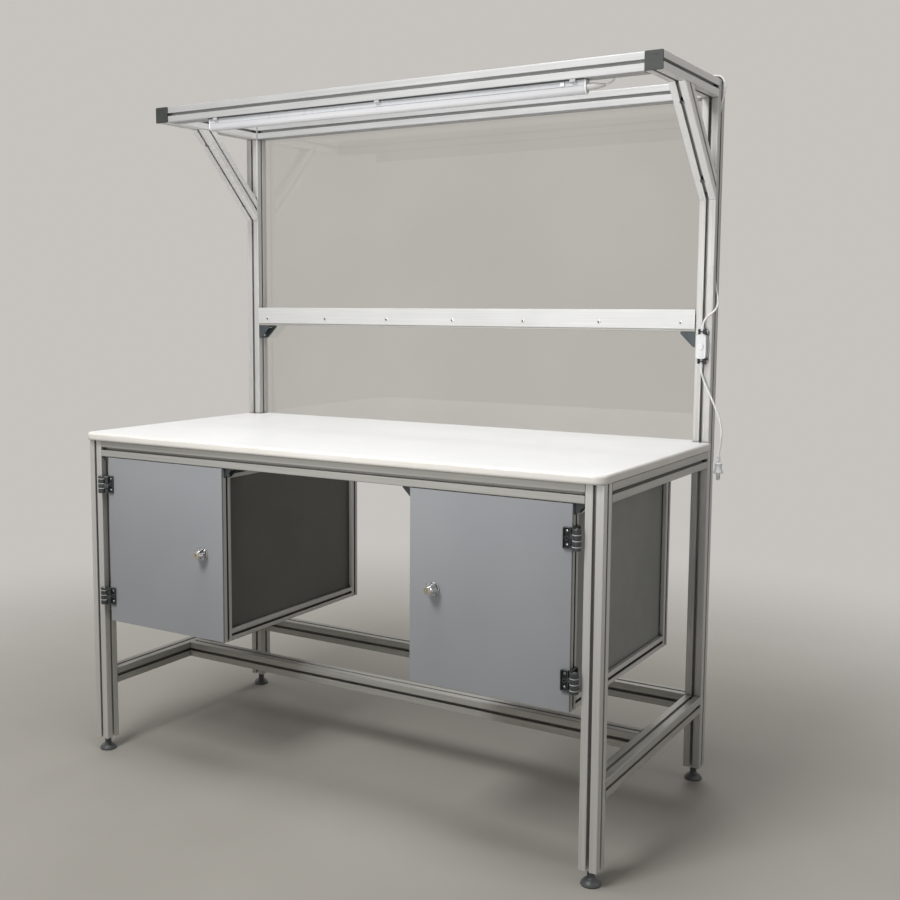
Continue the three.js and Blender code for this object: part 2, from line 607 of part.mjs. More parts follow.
// Inline switch on the right post's front face
const SWITCH_FACE = SWITCH_Y - SWITCH_DEPTH / 2;

function switchBody() {
  const round = 7;
  const [w, h] = [SWITCH_WIDTH / 2 - round, SWITCH_HEIGHT / 2 - round];
  const shape = outline([
    ...arc(w, -h, round, -90, 0, 4), ...arc(w, h, round, 0, 90, 4),
    ...arc(-w, h, round, 90, 180, 4), ...arc(-w, -h, round, 180, 270, 4),
  ]);
  const body = drawnOut(shape, 'xz', SWITCH_DEPTH).translate(SWITCH_X, SWITCH_Y, SWITCH_MIDDLE);
  const pocketRadius = SWITCH_BUTTON_RADIUS + BUTT_GAP;
  const pocket = rodY(pocketRadius, SWITCH_FACE - 1, SWITCH_FACE + POCKET_DEPTH, SWITCH_X, SWITCH_MIDDLE, 20);
  return geometryOf(cut(solid(body), [pocket]));
}
add('switch_body', switchBody(), WHITE_PLASTIC);
const BUTTON_FRONT = SWITCH_FACE - BUTTON_PROUD;
const SWITCH_BUTTON = rodY(SWITCH_BUTTON_RADIUS, BUTTON_FRONT, SWITCH_FACE + 1, SWITCH_X, SWITCH_MIDDLE, 20);
add('switch_button', SWITCH_BUTTON, WHITE_PLASTIC);

// Leads: a round section drawn along a smooth route
function cord(points) {
  const places = points.map((point) => new THREE.Vector3(...point));
  const route = new THREE.CatmullRomCurve3(places, false, 'centripetal');
  const steps = Math.min(80, Math.round(route.getLength() / (2.5 * CORD_DIAMETER)));
  const section = outline(circle(0, 0, CORD_DIAMETER / 2, CORD_SIDES));
  return new THREE.ExtrudeGeometry(section, { steps, extrudePath: route });
}

// From the lamp's right end behind the front rail, along the arm's inner slot, over the post's top and
// down the slot in its side, then round its front corner into the switch
const ARM_SLOT_X = INSIDE + 4.5;
const POST_SLOT_X = SIDE - 5;
const LAMP_EXIT_Z = SPLIT_Z - 2;
const LAMP_LEAD = [
  [LAMP_LENGTH / 2 + BUTT_GAP, LAMP_Y, LAMP_EXIT_Z], [598, LAMP_Y, LAMP_EXIT_Z],
  [609, LAMP_Y + 0.5, LAMP_EXIT_Z], [619.5, LAMP_Y + 3, LAMP_EXIT_Z + 0.3],
  [629, LAMP_Y + 8, LAMP_EXIT_Z + 1.8], [636, LAMP_Y + 15, LAMP_EXIT_Z + 5.5],
  [640.5, LAMP_Y + 22.7, LAMP_EXIT_Z + 11.7], [643.8, LAMP_Y + 29.3, LAMP_EXIT_Z + 20.1],
  [648.5, LAMP_Y + 33.7, LAMP_EXIT_Z + 28.5], [656.5, LAMP_Y + 37, CANOPY_Z - 5.3],
  [668, LAMP_Y + 41, CANOPY_Z - 2], [686, LAMP_Y + 48.5, CANOPY_Z - 1], [706, LAMP_Y + 59.5, CANOPY_Z - 1],
  [724, LAMP_Y + 77.5, CANOPY_Z - 0.5], [736, LAMP_Y + 105.5, CANOPY_Z],
  [ARM_SLOT_X, LAMP_Y + 140, CANOPY_Z], [ARM_SLOT_X, 262, CANOPY_Z],
  [739, 282, CANOPY_Z], [732, 304, CANOPY_Z + 4], [730, 322, CANOPY_Z + 16], [735, 336, CANOPY_Z + 29],
  [747, 345, CANOPY_Z + 33], [762, 350, CANOPY_Z + 33.5], [776, 353.5, CANOPY_Z + 31],
  [785.5, 355.5, CANOPY_Z + 22], [789.5, 356, CANOPY_Z + 8], [788, 356, CANOPY_Z - 10],
  [783.5, 356, CANOPY_Z - 32],
  [POST_SLOT_X, 355.5, CANOPY_Z - 70], [POST_SLOT_X, 355.5, 1600],
  [POST_SLOT_X, 355.5, 1372], [782, 355.5, 1340], [787, 354, 1320], [790.5, 348, 1303], [790, 337, 1289],
  [783, 326.5, 1277], [771, SWITCH_Y, 1266], [762, SWITCH_Y, 1251], [SWITCH_X, SWITCH_Y, 1236],
  [SWITCH_X, SWITCH_Y, SWITCH_MIDDLE + SWITCH_HEIGHT / 2 + BUTT_GAP],
];
add('lamp_lead', cord(LAMP_LEAD), WHITE_PLASTIC);

// From the switch down past the post's right side to the plug
const PLUG_LEAD = [
  [SWITCH_X, SWITCH_Y, SWITCH_MIDDLE - SWITCH_HEIGHT / 2 - BUTT_GAP], [SWITCH_X, SWITCH_Y, 1140],
  [760, SWITCH_Y, 1121], [767, SWITCH_Y, 1100], [777, SWITCH_Y, 1078], [783, SWITCH_Y, 1065.5],
  [789, SWITCH_Y, 1053], [795, SWITCH_Y, 1040], [801, SWITCH_Y, 1027], [811, SWITCH_Y, 1002],
  [817, SWITCH_Y, 977], [818, SWITCH_Y, 952], [816, SWITCH_Y, 928], [PLUG_X, SWITCH_Y, 910],
  [PLUG_X, SWITCH_Y, PLUG_TOP + BUTT_GAP],
];
add('plug_lead', cord(PLUG_LEAD), WHITE_PLASTIC);

// Plug: tapered strain relief, waisted body and two blades
const PLUG_PROFILE = [
  [0, 0], [5.4, 0], [5.4, -2.5], [4, -3.5], [4.7, -18], [9.6, -19], [9.6, -22], [8.7, -24], [9.2, -35],
  [12.5, -41], [12.5, -45], [0, -45],
];
const PLUG_FACE = -44.5;
const BLADE = { thick: 1.5, wide: 6.4, apart: 12.7, length: 18 };

function plugGeometry() {
  const profile = PLUG_PROFILE.map(([x, y]) => new THREE.Vector2(x, y)).reverse();
  const body = new THREE.LatheGeometry(profile, ROUND_STEPS).rotateX(Math.PI / 2);
  const blades = [-1, 1].map((side) => {
    const y = (side * BLADE.apart) / 2;
    return block(
      [-BLADE.wide / 2, y - BLADE.thick / 2, PLUG_FACE - BLADE.length],
      [BLADE.wide / 2, y + BLADE.thick / 2, PLUG_FACE],
    );
  });
  return geometryOf(joined([body, ...blades]));
}
add('plug', plugGeometry(), WHITE_PLASTIC, [PLUG_X, SWITCH_Y, PLUG_TOP]);

export default bench;
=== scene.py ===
# Workbench with two hung cabinets, a lit canopy, a clear back panel and a hanging rail.
# Shapes are drawn in millimetres in the row frame and scaled to metres as each piece is made.

import math

import bmesh
import bpy
from mathutils import Matrix, Vector


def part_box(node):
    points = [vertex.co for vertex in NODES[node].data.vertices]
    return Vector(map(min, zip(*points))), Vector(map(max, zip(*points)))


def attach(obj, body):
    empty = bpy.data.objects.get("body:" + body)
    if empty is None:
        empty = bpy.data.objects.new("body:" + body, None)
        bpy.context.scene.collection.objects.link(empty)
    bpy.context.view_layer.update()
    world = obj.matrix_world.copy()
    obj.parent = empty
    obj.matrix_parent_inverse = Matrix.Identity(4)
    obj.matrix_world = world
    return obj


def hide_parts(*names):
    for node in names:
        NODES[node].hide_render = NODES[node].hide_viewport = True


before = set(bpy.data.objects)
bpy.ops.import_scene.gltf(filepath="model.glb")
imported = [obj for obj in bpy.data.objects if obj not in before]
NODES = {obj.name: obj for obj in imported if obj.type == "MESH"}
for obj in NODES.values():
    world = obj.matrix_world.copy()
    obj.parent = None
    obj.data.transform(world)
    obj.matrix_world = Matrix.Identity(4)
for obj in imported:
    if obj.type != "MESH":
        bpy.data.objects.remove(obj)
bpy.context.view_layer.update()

METRE = 1000.0
SIDES = (("left", -1), ("right", 1))


def span(node):
    """A node's lowest and highest x, y and z, in millimetres."""
    low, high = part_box(node)
    return [(a * METRE, b * METRE) for a, b in zip(low, high)]


def middle(limits):
    return (limits[0] + limits[1]) / 2


# Camera at the photograph's viewing angle
IMAGE_SIZE = 900
CAMERA_PLACE = (1.7403, -2.7106, 1.2973)
CAMERA_YAW = 32.333
CAMERA_PITCH = 6.05
CAMERA_ROLL = 0.142
FOCAL_PIXELS = 1176.8
OPTICAL_CENTRE = (397.1, 428.9)
SENSOR = 36.0


def make_camera():
    data = bpy.data.cameras.new("camera")
    data.sensor_width = SENSOR
    data.lens = SENSOR * FOCAL_PIXELS / IMAGE_SIZE
    data.shift_x = 0.5 - OPTICAL_CENTRE[0] / IMAGE_SIZE
    data.shift_y = OPTICAL_CENTRE[1] / IMAGE_SIZE - 0.5
    camera = bpy.data.objects.new("camera", data)
    bpy.context.scene.collection.objects.link(camera)
    turn = Matrix.Rotation(math.radians(CAMERA_YAW), 4, "Z")
    tilt = Matrix.Rotation(math.radians(90 - CAMERA_PITCH), 4, "X")
    roll = Matrix.Rotation(math.radians(CAMERA_ROLL), 4, "Z")
    camera.matrix_world = Matrix.Translation(CAMERA_PLACE) @ turn @ tilt @ roll
    bpy.context.scene.camera = camera


make_camera()


# Materials
def linear(code):
    """A colour written as six hexadecimal digits, in scene-linear red, green, blue and alpha."""
    values = [int(code[i:i + 2], 16) / 255 for i in (0, 2, 4)]
    decoded = [v / 12.92 if v <= 0.04045 else ((v + 0.055) / 1.055) ** 2.4 for v in values]
    return (*decoded, 1.0)


class Finish:
    """A material with one principled shader, fed by noise in the object's own coordinates."""

    def __init__(self, name, **sockets):
        self.material = bpy.data.materials.new(name)
        self.material.use_nodes = True
        self.tree = self.material.node_tree
        self.shader = self.tree.nodes["Principled BSDF"]
        for label, value in sockets.items():
            title = label.replace("_", " ").title().replace("Ior", "IOR")
            self.shader.inputs[title].default_value = value
        self.place = self.tree.nodes.new("ShaderNodeTexCoord").outputs["Object"]

    def node(self, kind, **sockets):
        made = self.tree.nodes.new("ShaderNode" + kind)
        for label, value in sockets.items():
            socket = made.inputs[label.replace("_", " ").title()]
            if isinstance(value, bpy.types.NodeSocket):
                self.tree.links.new(value, socket)
            else:
                socket.default_value = value
        return made

    def stretched(self, scale, turn=(0, 0, 0)):
        turned_place = self.node("Mapping", vector=self.place, rotation=turn)
        return self.node("Mapping", vector=turned_place.outputs[0], scale=scale).outputs[0]

    def noise(self, scale, detail=3.0, place=None):
        source = self.place if place is None else place
        return self.node("TexNoise", vector=source, scale=scale, detail=detail).outputs["Fac"]

    def between(self, factor, low, high, start=0.3, end=0.7):
        ranged = self.node("MapRange", value=factor, from_min=start, from_max=end, to_min=low, to_max=high)
        return ranged.outputs["Result"]

    def ramp(self, factor, dark, pale, start=0.3, end=0.7):
        made = self.tree.nodes.new("ShaderNodeValToRGB")
        made.color_ramp.elements[0].position = start
        made.color_ramp.elements[1].position = end
        made.color_ramp.elements[0].color = linear(dark)
        made.color_ramp.elements[1].color = linear(pale)
        self.tree.links.new(factor, made.inputs[0])
        return made.outputs[0]

    def recess_shade(self, colour, shade_colour, reach, start, end):
        """Darkens a colour where other faces close in around it, as in a slot: painted shade."""
        openness = self.node("AmbientOcclusion", distance=reach).outputs["AO"]
        mixed = self.tree.nodes.new("ShaderNodeMix")
        mixed.data_type = "RGBA"
        factor, first, second = mixed.inputs[0], mixed.inputs[6], mixed.inputs[7]
        first.default_value = linear(shade_colour)
        self.tree.links.new(self.between(openness, 0.0, 1.0, start, end), factor)
        self.tree.links.new(colour, second)
        return mixed.outputs[2]

    def feed(self, label, output):
        self.tree.links.new(output, self.shader.inputs[label])

    def bump(self, height, depth, strength=1.0, edge=0.0):
        """A raised grain; with an edge radius, sharp corners also catch the light as if rounded."""
        made = self.node("Bump", height=height, distance=depth, strength=strength)
        if edge:
            rounded = self.node("Bevel", radius=edge)
            self.tree.links.new(rounded.outputs[0], made.inputs["Normal"])
        self.feed("Normal", made.outputs[0])


LONG = 3.0
ACROSS = 420.0
# Painted shade: the bars' slots and inside corners darken by how closed in each point is; the canopy rails take a
# lighter shade.
SLOT_SHADE = "262622"
SLOT_LIGHTER_SHADE = "3c3c38"
SLOT_REACH = 0.014
SLOT_OPENNESS = (0.26, 0.76)
BAR_EDGE = 0.0015


def drawn_aluminium(name, scale, dark, pale, turn=(0, 0, 0), slot=SLOT_SHADE):
    """Satin anodised bar: fine die lines along its length, slots and inside corners darkened as painted shade."""
    finish = Finish(name, metallic=0.3)
    lines = finish.noise(1.0, 4.0, finish.stretched(scale, turn))
    finish.feed("Base Color", finish.recess_shade(finish.ramp(lines, dark, pale), slot, SLOT_REACH, *SLOT_OPENNESS))
    finish.feed("Roughness", finish.between(finish.noise(9.0), 0.36, 0.48))
    finish.bump(lines, 0.00003, 0.6, BAR_EDGE)
    return finish.material


BAR_SCALES = {"x": (LONG, ACROSS, ACROSS), "y": (ACROSS, LONG, ACROSS), "z": (ACROSS, ACROSS, LONG)}
# All bars are one anodised aluminium; each group carries its own lighter or darker tone of it as painted light and
# shade.
BAR_PAINTED_LIGHT = ("aaa9a3", "bbbab5")
UPRIGHT_PAINTED_LIGHT = ("c5c4c0", "d5d4d1")
POST_PAINTED_LIGHT = ("bab9b5", "cac9c6")
UPPER_PAINTED_LIGHT = ("e4e3e0", "eeedeb")
CANOPY_PAINTED_LIGHT = ("a8a8a8", "b6b6b6")
STRIP_TONES = ("c7c7c5", "d6d6d5")
BRACE_SLOPE = (math.radians(45), 0, 0)
ALUMINIUM = {
    "x": drawn_aluminium("bar_x", BAR_SCALES["x"], *BAR_PAINTED_LIGHT),
    "y": drawn_aluminium("bar_y", BAR_SCALES["y"], *BAR_PAINTED_LIGHT),
    "z": drawn_aluminium("bar_z", BAR_SCALES["z"], *UPRIGHT_PAINTED_LIGHT),
}
POST_ALUMINIUM = drawn_aluminium("bar_post", BAR_SCALES["z"], *POST_PAINTED_LIGHT)
ARM_ALUMINIUM = drawn_aluminium("bar_arm", BAR_SCALES["y"], *UPPER_PAINTED_LIGHT)
SLOPING_ALUMINIUM = drawn_aluminium("bar_sloping", BAR_SCALES["y"], *UPPER_PAINTED_LIGHT, BRACE_SLOPE)
CANOPY_ALUMINIUM = drawn_aluminium("bar_canopy", BAR_SCALES["x"], *CANOPY_PAINTED_LIGHT, slot=SLOT_LIGHTER_SHADE)
STRIP_ALUMINIUM = drawn_aluminium("strip", BAR_SCALES["x"], *STRIP_TONES)


def moulded(name, dark, pale, rough, grain, depth, patch=6.0, **sockets):
    """Moulded or painted surface: slight patches of tone and a fine grain."""
    finish = Finish(name, **sockets)
    finish.feed("Base Color", finish.ramp(finish.noise(patch), dark, pale))
    finish.feed("Roughness", finish.between(finish.noise(patch * 7), rough - 0.05, rough + 0.05))
    finish.bump(finish.noise(grain, 2.0), depth, 0.5)
    return finish.material


DOOR_GREY = moulded("door_grey", "9b9da1", "a2a4a7", 0.48, 1400.0, 0.00006, patch=3.0)
# The panels' grey is darker and warmer than the doors': partly their own tone, partly painted shade.
PANEL_GREY = moulded("panel_grey", "80817d", "888985", 0.5, 1400.0, 0.00006, patch=3.0)
SHADED_GREY = moulded("shaded_grey", "61625e", "696a66", 0.5, 1400.0, 0.00006, patch=3.0)
LAMINATE = moulded("laminate", "ededec", "f2f2f1", 0.4, 900.0, 0.00004, patch=4.0)
# The worktop's edge laminate is darker and warmer than its top: the edge band's own tone and painted shade.
EDGE_BAND_AND_SHADE = moulded("laminate_edge", "e6e2db", "ece9e3", 0.42, 1200.0, 0.00004, patch=12.0)
SLATE = moulded("slate", "3d4447", "464d50", 0.33, 2600.0, 0.00006, patch=40.0)
# The hinge slate also serves the cabinets' gussets, as a darker copy of the gusset slate: painted shade.
HINGE_SLATE_AND_GUSSET_SHADE = moulded(
    "hinge_slate", "23282a", "2d3234", 0.3, 2600.0, 0.00006, patch=40.0, coat_weight=0.6, coat_roughness=0.18)
# Painted light and shade on the hinge plates: lighter slate on the raised rims and eyes, near black in the pockets.
LIT_HINGE_RIM = moulded("hinge_rim", "383d3f", "43484a", 0.36, 2600.0, 0.00006, patch=40.0)
SHADED_HINGE_WELL = moulded("hinge_well", "070707", "0b0c0b", 0.6, 2600.0, 0.00006, patch=40.0)
# Pale washers: their own colour, partly also a painted highlight at the knuckles' joints.
WASHER_GREY_AND_HIGHLIGHT = moulded("washer_grey", "c9cccc", "d5d8d7", 0.35, 900.0, 0.00004, patch=60.0)
CAP_GREY = moulded("cap_grey", "282b29", "313432", 0.55, 2600.0, 0.00008, patch=40.0)
FOOT_GREY = moulded("foot_grey", "4c4f50", "575a5b", 0.42, 2200.0, 0.00008, patch=50.0)
WHITE = moulded("white_plastic", "dfe0e1", "e7e8e8", 0.38, 1800.0, 0.00004, patch=20.0)
ENAMEL = moulded("white_enamel", "babbbe", "c3c4c6", 0.3, 700.0, 0.00004, patch=8.0)
CORD_WHITE = moulded("cord_white", "e6e6e3", "eeeeeb", 0.45, 900.0, 0.00006, patch=25.0)
BUTTON_WHITE = moulded("button_white", "e4e5e5", "ebecec", 0.35, 2000.0, 0.00004, patch=60.0)
BLACK = moulded("black_plastic", "151616", "1d1f1e", 0.4, 2400.0, 0.00006, patch=40.0)
COVER_BLACK = moulded(
    "cover_black", "0e0f0e", "141514", 0.8, 2400.0, 0.00006, patch=40.0, specular_ior_level=0.05)
RUBBER = moulded("rubber", "1d1d1d", "262626", 0.7, 1600.0, 0.0001, patch=40.0)
MILKY_GREY = moulded("milky_grey", "a2a4a4", "aeb0b0", 0.25, 900.0, 0.00004, patch=60.0)
SLEEVE_GREY = moulded("sleeve_grey", "aeaca9", "bab8b5", 0.4, 900.0, 0.00004, patch=60.0)


# Painted shade in the creases of the chrome knobs.
CREASE_SHADE = "161616"
CREASE_REACH = 0.006


def metal(name, dark, pale, rough, scale, shaded_creases=False):
    """Plated or bare metal: small patches of tone, fine polishing marks, painted shade in its creases if asked for."""
    finish = Finish(name, metallic=1.0)
    tone = finish.ramp(finish.noise(scale), dark, pale)
    finish.feed("Base Color", finish.recess_shade(tone, CREASE_SHADE, CREASE_REACH, 0.3, 0.8) if shaded_creases else tone)
    finish.feed("Roughness", finish.between(finish.noise(scale * 4), rough * 0.7, rough * 1.3))
    finish.bump(finish.noise(scale * 9, 2.0), 0.00002, 0.5)
    return finish.material


CHROME = metal("chrome", "cdcdcd", "e2e2e0", 0.1, 90.0, shaded_creases=True)
STEEL = metal("zinc_steel", "b2b3b2", "cfd0ce", 0.28, 120.0)
NICKEL = metal("nickel_brass", "b3aa96", "cac2b0", 0.35, 120.0)
BLADE_METAL = metal("blade_metal", "cfcfcb", "e2e2de", 0.45, 120.0)


def opal_lens():
    """Opal lamp cover with fine ribs and faint streaks along its length."""
    finish = Finish("opal", roughness=0.3)
    streaks = finish.noise(1.0, 3.0, finish.stretched((2.0, 150.0, 150.0)))
    ribs = finish.node("TexWave", vector=finish.place, scale=160.0)
    ribs.bands_direction = "Y"
    finish.feed("Base Color", finish.ramp(streaks, "bcbcbf", "cbcaca"))
    finish.bump(ribs.outputs["Fac"], 0.0002, 0.4)
    return finish.material


def clear_sheet():
    """Clear polycarbonate with faint handling haze."""
    finish = Finish("clear_sheet", transmission_weight=1.0, ior=1.58)
    finish.feed("Base Color", finish.ramp(finish.noise(2.0), "e6e4e1", "edebe8"))
    finish.feed("Roughness", finish.between(finish.noise(5.0, 5.0), 0.0, 0.03))
    return finish.material


OPAL = opal_lens()
CLEAR = clear_sheet()


# Shapes in millimetres; each is a closed body in its own mesh
PLANES = {"xy": (0, 1, 2), "xz": (0, 2, 1), "yz": (1, 2, 0)}
SHARP = math.radians(30)


def point_in(plane, u, v, w):
    point = [0.0, 0.0, 0.0]
    for axis, value in zip(PLANES[plane], (u, v, w)):
        point[axis] = value
    return point


def rounded_off(bm, width, steps, rims=None):
    """Rounds the sharp edges, or only those of the two faces square to the given axis."""
    bmesh.ops.recalc_face_normals(bm, faces=bm.faces)
    edges = []
    for edge in bm.edges:
        ends = [vert.co for vert in edge.verts]
        on_rim = rims is None or abs(ends[0][rims] - ends[1][rims]) < 1e-6
        if on_rim and len(edge.link_faces) == 2 and edge.calc_face_angle() > SHARP:
            edges.append(edge)
    bmesh.ops.bevel(
        bm, geom=edges, offset=width, segments=steps, profile=0.5, affect="EDGES", clamp_overlap=True)


def prism(plane, outline, low, high, soft=0.0, steps=2, finish=0, holes=(), all_edges=True):
    """An outline drawn in one plane and drawn out from low to high along the third axis."""
    bm = bmesh.new()
    edges = []
    for loop in (outline, *holes):
        verts = [bm.verts.new(point_in(plane, u, v, low)) for u, v in loop]
        edges += [bm.edges.new((a, b)) for a, b in zip(verts, verts[1:] + verts[:1])]
    if holes:
        bmesh.ops.triangle_fill(bm, edges=edges, use_beauty=True, use_dissolve=False)
    else:
        bm.faces.new(bm.verts)
    axis = PLANES[plane][2]
    drawn = bmesh.ops.extrude_face_region(bm, geom=bm.faces[:])
    for item in drawn["geom"]:
        if isinstance(item, bmesh.types.BMVert):
            item.co[axis] = high
    if soft:
        rounded_off(bm, soft, steps, None if all_edges else axis)
    for face in bm.faces:
        face.material_index = finish
    return bm


def slab(xs, ys, zs, soft=0.5, steps=2, finish=0):
    """A rounded block between the given limits."""
    return prism("xy", rectangle(xs, ys), min(zs), max(zs), soft, steps, finish)


def skinned(bm, rings, finish):
    """Joins neighbouring rings with faces; a ring of one point closes an end."""
    for lower, upper in zip(rings, rings[1:]):
        for i in range(max(len(lower), len(upper))):
            corners = [lower[i % len(lower)], lower[(i + 1) % len(lower)]]
            corners += [upper[(i + 1) % len(upper)], upper[i % len(upper)]]
            bm.faces.new(dict.fromkeys(corners))
    for face in bm.faces:
        face.material_index = finish
    return bm


def turned(profile, place, axis="z", way=1, steps=32, finish=0, shape=None, bored=False):
    """A closed turned body; the profile gives radius and distance along the axis from its place.
    The shape, if given, changes a radius by its angle and its place in the profile."""
    bm = bmesh.new()
    along = "xyz".index(axis)
    first, second = [i for i in range(3) if i != along]
    rings = []
    for station, (radius, distance) in enumerate(profile):
        count = steps if radius > 0 else 1
        ring = []
        for i in range(count):
            angle = 2 * math.pi * i / count
            reach = radius if shape is None else shape(radius, angle, station)
            point = list(place)
            point[along] += way * distance
            point[first] += reach * math.cos(angle)
            point[second] += reach * math.sin(angle)
            ring.append(bm.verts.new(point))
        rings.append(ring)
    if bored:
        rings.append(rings[0])
    return skinned(bm, rings, finish)


def swept(points, radii, steps=24, finish=0):
    """A closed round body along a level line of points, with its own radius at each."""
    bm = bmesh.new()
    path = [Vector(point) for point in points]
    rings = [[bm.verts.new(path[0])]]
    for i, centre in enumerate(path):
        along = (path[min(i + 1, len(path) - 1)] - path[max(i - 1, 0)]).normalized()
        first = along.cross(Vector((0, 0, 1))).normalized()
        second = along.cross(first)
        ring = []
        for k in range(steps):
            angle = 2 * math.pi * k / steps
            offset = math.cos(angle) * first + math.sin(angle) * second
            ring.append(bm.verts.new(centre + radii[i] * offset))
        rings.append(ring)
    rings.append([bm.verts.new(path[-1])])
    return skinned(bm, rings, finish)


def rectangle(us, vs):
    (left, right), (low, high) = us, vs
    return [(left, low), (right, low), (right, high), (left, high)]


def arc(u, v, radius, start, end, steps):
    angles = [math.radians(start + (end - start) * i / steps) for i in range(steps + 1)]
    return [(u + radius * math.cos(a), v + radius * math.sin(a)) for a in angles]


def circle(u, v, radius, steps=32):
    return arc(u, v, radius, 0, 360, steps)[:-1]


def round_rectangle(us, vs, radius, steps=6):
    (left, right), (low, high) = us, vs
    corners = [(right, low, -90), (right, high, 0), (left, high, 90), (left, low, 180)]
    points = []
    for u, v, start in corners:
        centre_u = u - radius if u == right else u + radius
        centre_v = v - radius if v == high else v + radius
        points += arc(centre_u, centre_v, radius, start, start + 90, steps)
    return points


def rod(radius, low, high, edge):
    """Profile of a round rod with eased ends."""
    return [
        (0, low), (radius - edge, low), (radius, low + edge), (radius, high - edge), (radius - edge, high),
        (0, high),
    ]


def screw(place, axis, way, radius, height, head=1, dark=2):
    """Button head standing on its place, and a dark disc at the floor of its socket as painted shade."""
    socket = radius * 0.45
    profile = [
        (0, height * 0.35), (socket, height * 0.35), (socket, height), (radius * 0.62, height * 0.96),
        (radius * 0.86, height * 0.7), (radius, height * 0.25), (radius, 0), (0, 0),
    ]
    floor = rod(socket * 0.96, height * 0.3, height * 0.42, height * 0.02)
    return [turned(profile, place, axis, way, 20, head), turned(floor, place, axis, way, 16, dark)]


def piece(name, shapes, finishes, body, replaces=()):
    """One visible piece made of closed shapes, riding on a body."""
    whole = bmesh.new()
    for shape in shapes:
        bmesh.ops.recalc_face_normals(shape, faces=shape.faces)
        loose = bpy.data.meshes.new("loose")
        shape.to_mesh(loose)
        shape.free()
        whole.from_mesh(loose)
        bpy.data.meshes.remove(loose)
    whole.transform(Matrix.Scale(1 / METRE, 4))
    for face in whole.faces:
        face.smooth = True
    mesh = bpy.data.meshes.new(name)
    whole.to_mesh(mesh)
    whole.free()
    mesh.set_sharp_from_angle(angle=SHARP)
    for finish in finishes:
        mesh.materials.append(finish)
    made = bpy.data.objects.new(name, mesh)
    bpy.context.scene.collection.objects.link(made)
    made.modifiers.new("even_shading", "WEIGHTED_NORMAL").keep_sharp = True
    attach(made, body)
    if replaces:
        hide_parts(*replaces)
    return made


# Leads: the routes of the solids, in metres
CORD_DIAMETER = 0.0055
LAMP_ROUTE = [
    (0.5878, -0.0460, 1.8125), (0.5980, -0.0460, 1.8125), (0.6090, -0.0455, 1.8125), (0.6195, -0.0430, 1.8128),
    (0.6290, -0.0380, 1.8143), (0.6360, -0.0310, 1.8180), (0.6405, -0.0233, 1.8242), (0.6438, -0.0167, 1.8326),
    (0.6485, -0.0123, 1.8410), (0.6565, -0.0090, 1.8472), (0.6680, -0.0050, 1.8505), (0.6860, 0.0025, 1.8515),
    (0.7060, 0.0135, 1.8515), (0.7240, 0.0315, 1.8520), (0.7360, 0.0595, 1.8525), (0.7415, 0.0940, 1.8525),
    (0.7415, 0.2755, 1.8525), (0.7390, 0.2955, 1.8525), (0.7320, 0.3175, 1.8565), (0.7300, 0.3355, 1.8685),
    (0.7350, 0.3495, 1.8815), (0.7470, 0.3585, 1.8855), (0.7620, 0.3635, 1.8860), (0.7760, 0.3670, 1.8835),
    (0.7855, 0.3690, 1.8745), (0.7895, 0.3695, 1.8605), (0.7880, 0.3695, 1.8425), (0.7835, 0.3695, 1.8205),
    (0.7770, 0.3690, 1.7825), (0.7770, 0.3690, 1.6000), (0.7770, 0.3690, 1.3720), (0.7820, 0.3690, 1.3400),
    (0.7870, 0.3675, 1.3200), (0.7905, 0.3615, 1.3030), (0.7900, 0.3505, 1.2890), (0.7830, 0.3400, 1.2770),
    (0.7710, 0.3362, 1.2660), (0.7620, 0.3362, 1.2510), (0.7595, 0.3362, 1.2360), (0.7595, 0.3362, 1.2203),
]
PLUG_ROUTE = [
    (0.7595, 0.3362, 1.1567), (0.7595, 0.3362, 1.1400), (0.7600, 0.3362, 1.1210), (0.7670, 0.3362, 1.1000),
    (0.7770, 0.3362, 1.0780), (0.7830, 0.3362, 1.0655), (0.7890, 0.3362, 1.0530), (0.7950, 0.3362, 1.0400),
    (0.8010, 0.3362, 1.0270), (0.8110, 0.3362, 1.0020), (0.8170, 0.3362, 0.9770), (0.8180, 0.3362, 0.9520),
    (0.8160, 0.3362, 0.9280), (0.8130, 0.3362, 0.9100), (0.8130, 0.3362, 0.9023),
]


def lead(name, route, node):
    """A round lead on one smooth curve through its route."""
    data = bpy.data.curves.new(name, "CURVE")
    data.dimensions = "3D"
    data.resolution_u = 8
    data.bevel_depth = CORD_DIAMETER / 2
    data.bevel_resolution = 3
    data.use_fill_caps = True
    spline = data.splines.new("BEZIER")
    spline.bezier_points.add(len(route) - 1)
    for knot, place in zip(spline.bezier_points, route):
        knot.co = place
        knot.handle_left_type = "AUTO"
        knot.handle_right_type = "AUTO"
    data.materials.append(CORD_WHITE)
    made = bpy.data.objects.new(name, data)
    bpy.context.scene.collection.objects.link(made)
    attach(made, "bench")
    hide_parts(node)
    return made


LAMP_CORD = lead("lamp_lead_cord", LAMP_ROUTE, "lamp_lead")
PLUG_CORD = lead("plug_lead_cord", PLUG_ROUTE, "plug_lead")

# Strain reliefs: a tapered connector at the lamp's end, a ringed sleeve above and below the switch
LAMP_SLEEVE_RADII = (8.4, 8.4, 7.8, 5.8, 3.9)
SLEEVE_LENGTH = 24
SLEEVE_WIDE = 5.0
SLEEVE_SLIM = 3.3
SLEEVE_RINGS = 5
SWITCH_XS, SWITCH_YS, SWITCH_ZS = span("switch_body")
SWITCH_X, SWITCH_Y = middle(SWITCH_XS), middle(SWITCH_YS)


def lamp_sleeve():
    line = [[METRE * value for value in place] for place in LAMP_ROUTE[:len(LAMP_SLEEVE_RADII)]]
    shape = swept(line, LAMP_SLEEVE_RADII)
    return piece("lamp_strain_relief", [shape], [SLEEVE_GREY], "bench")


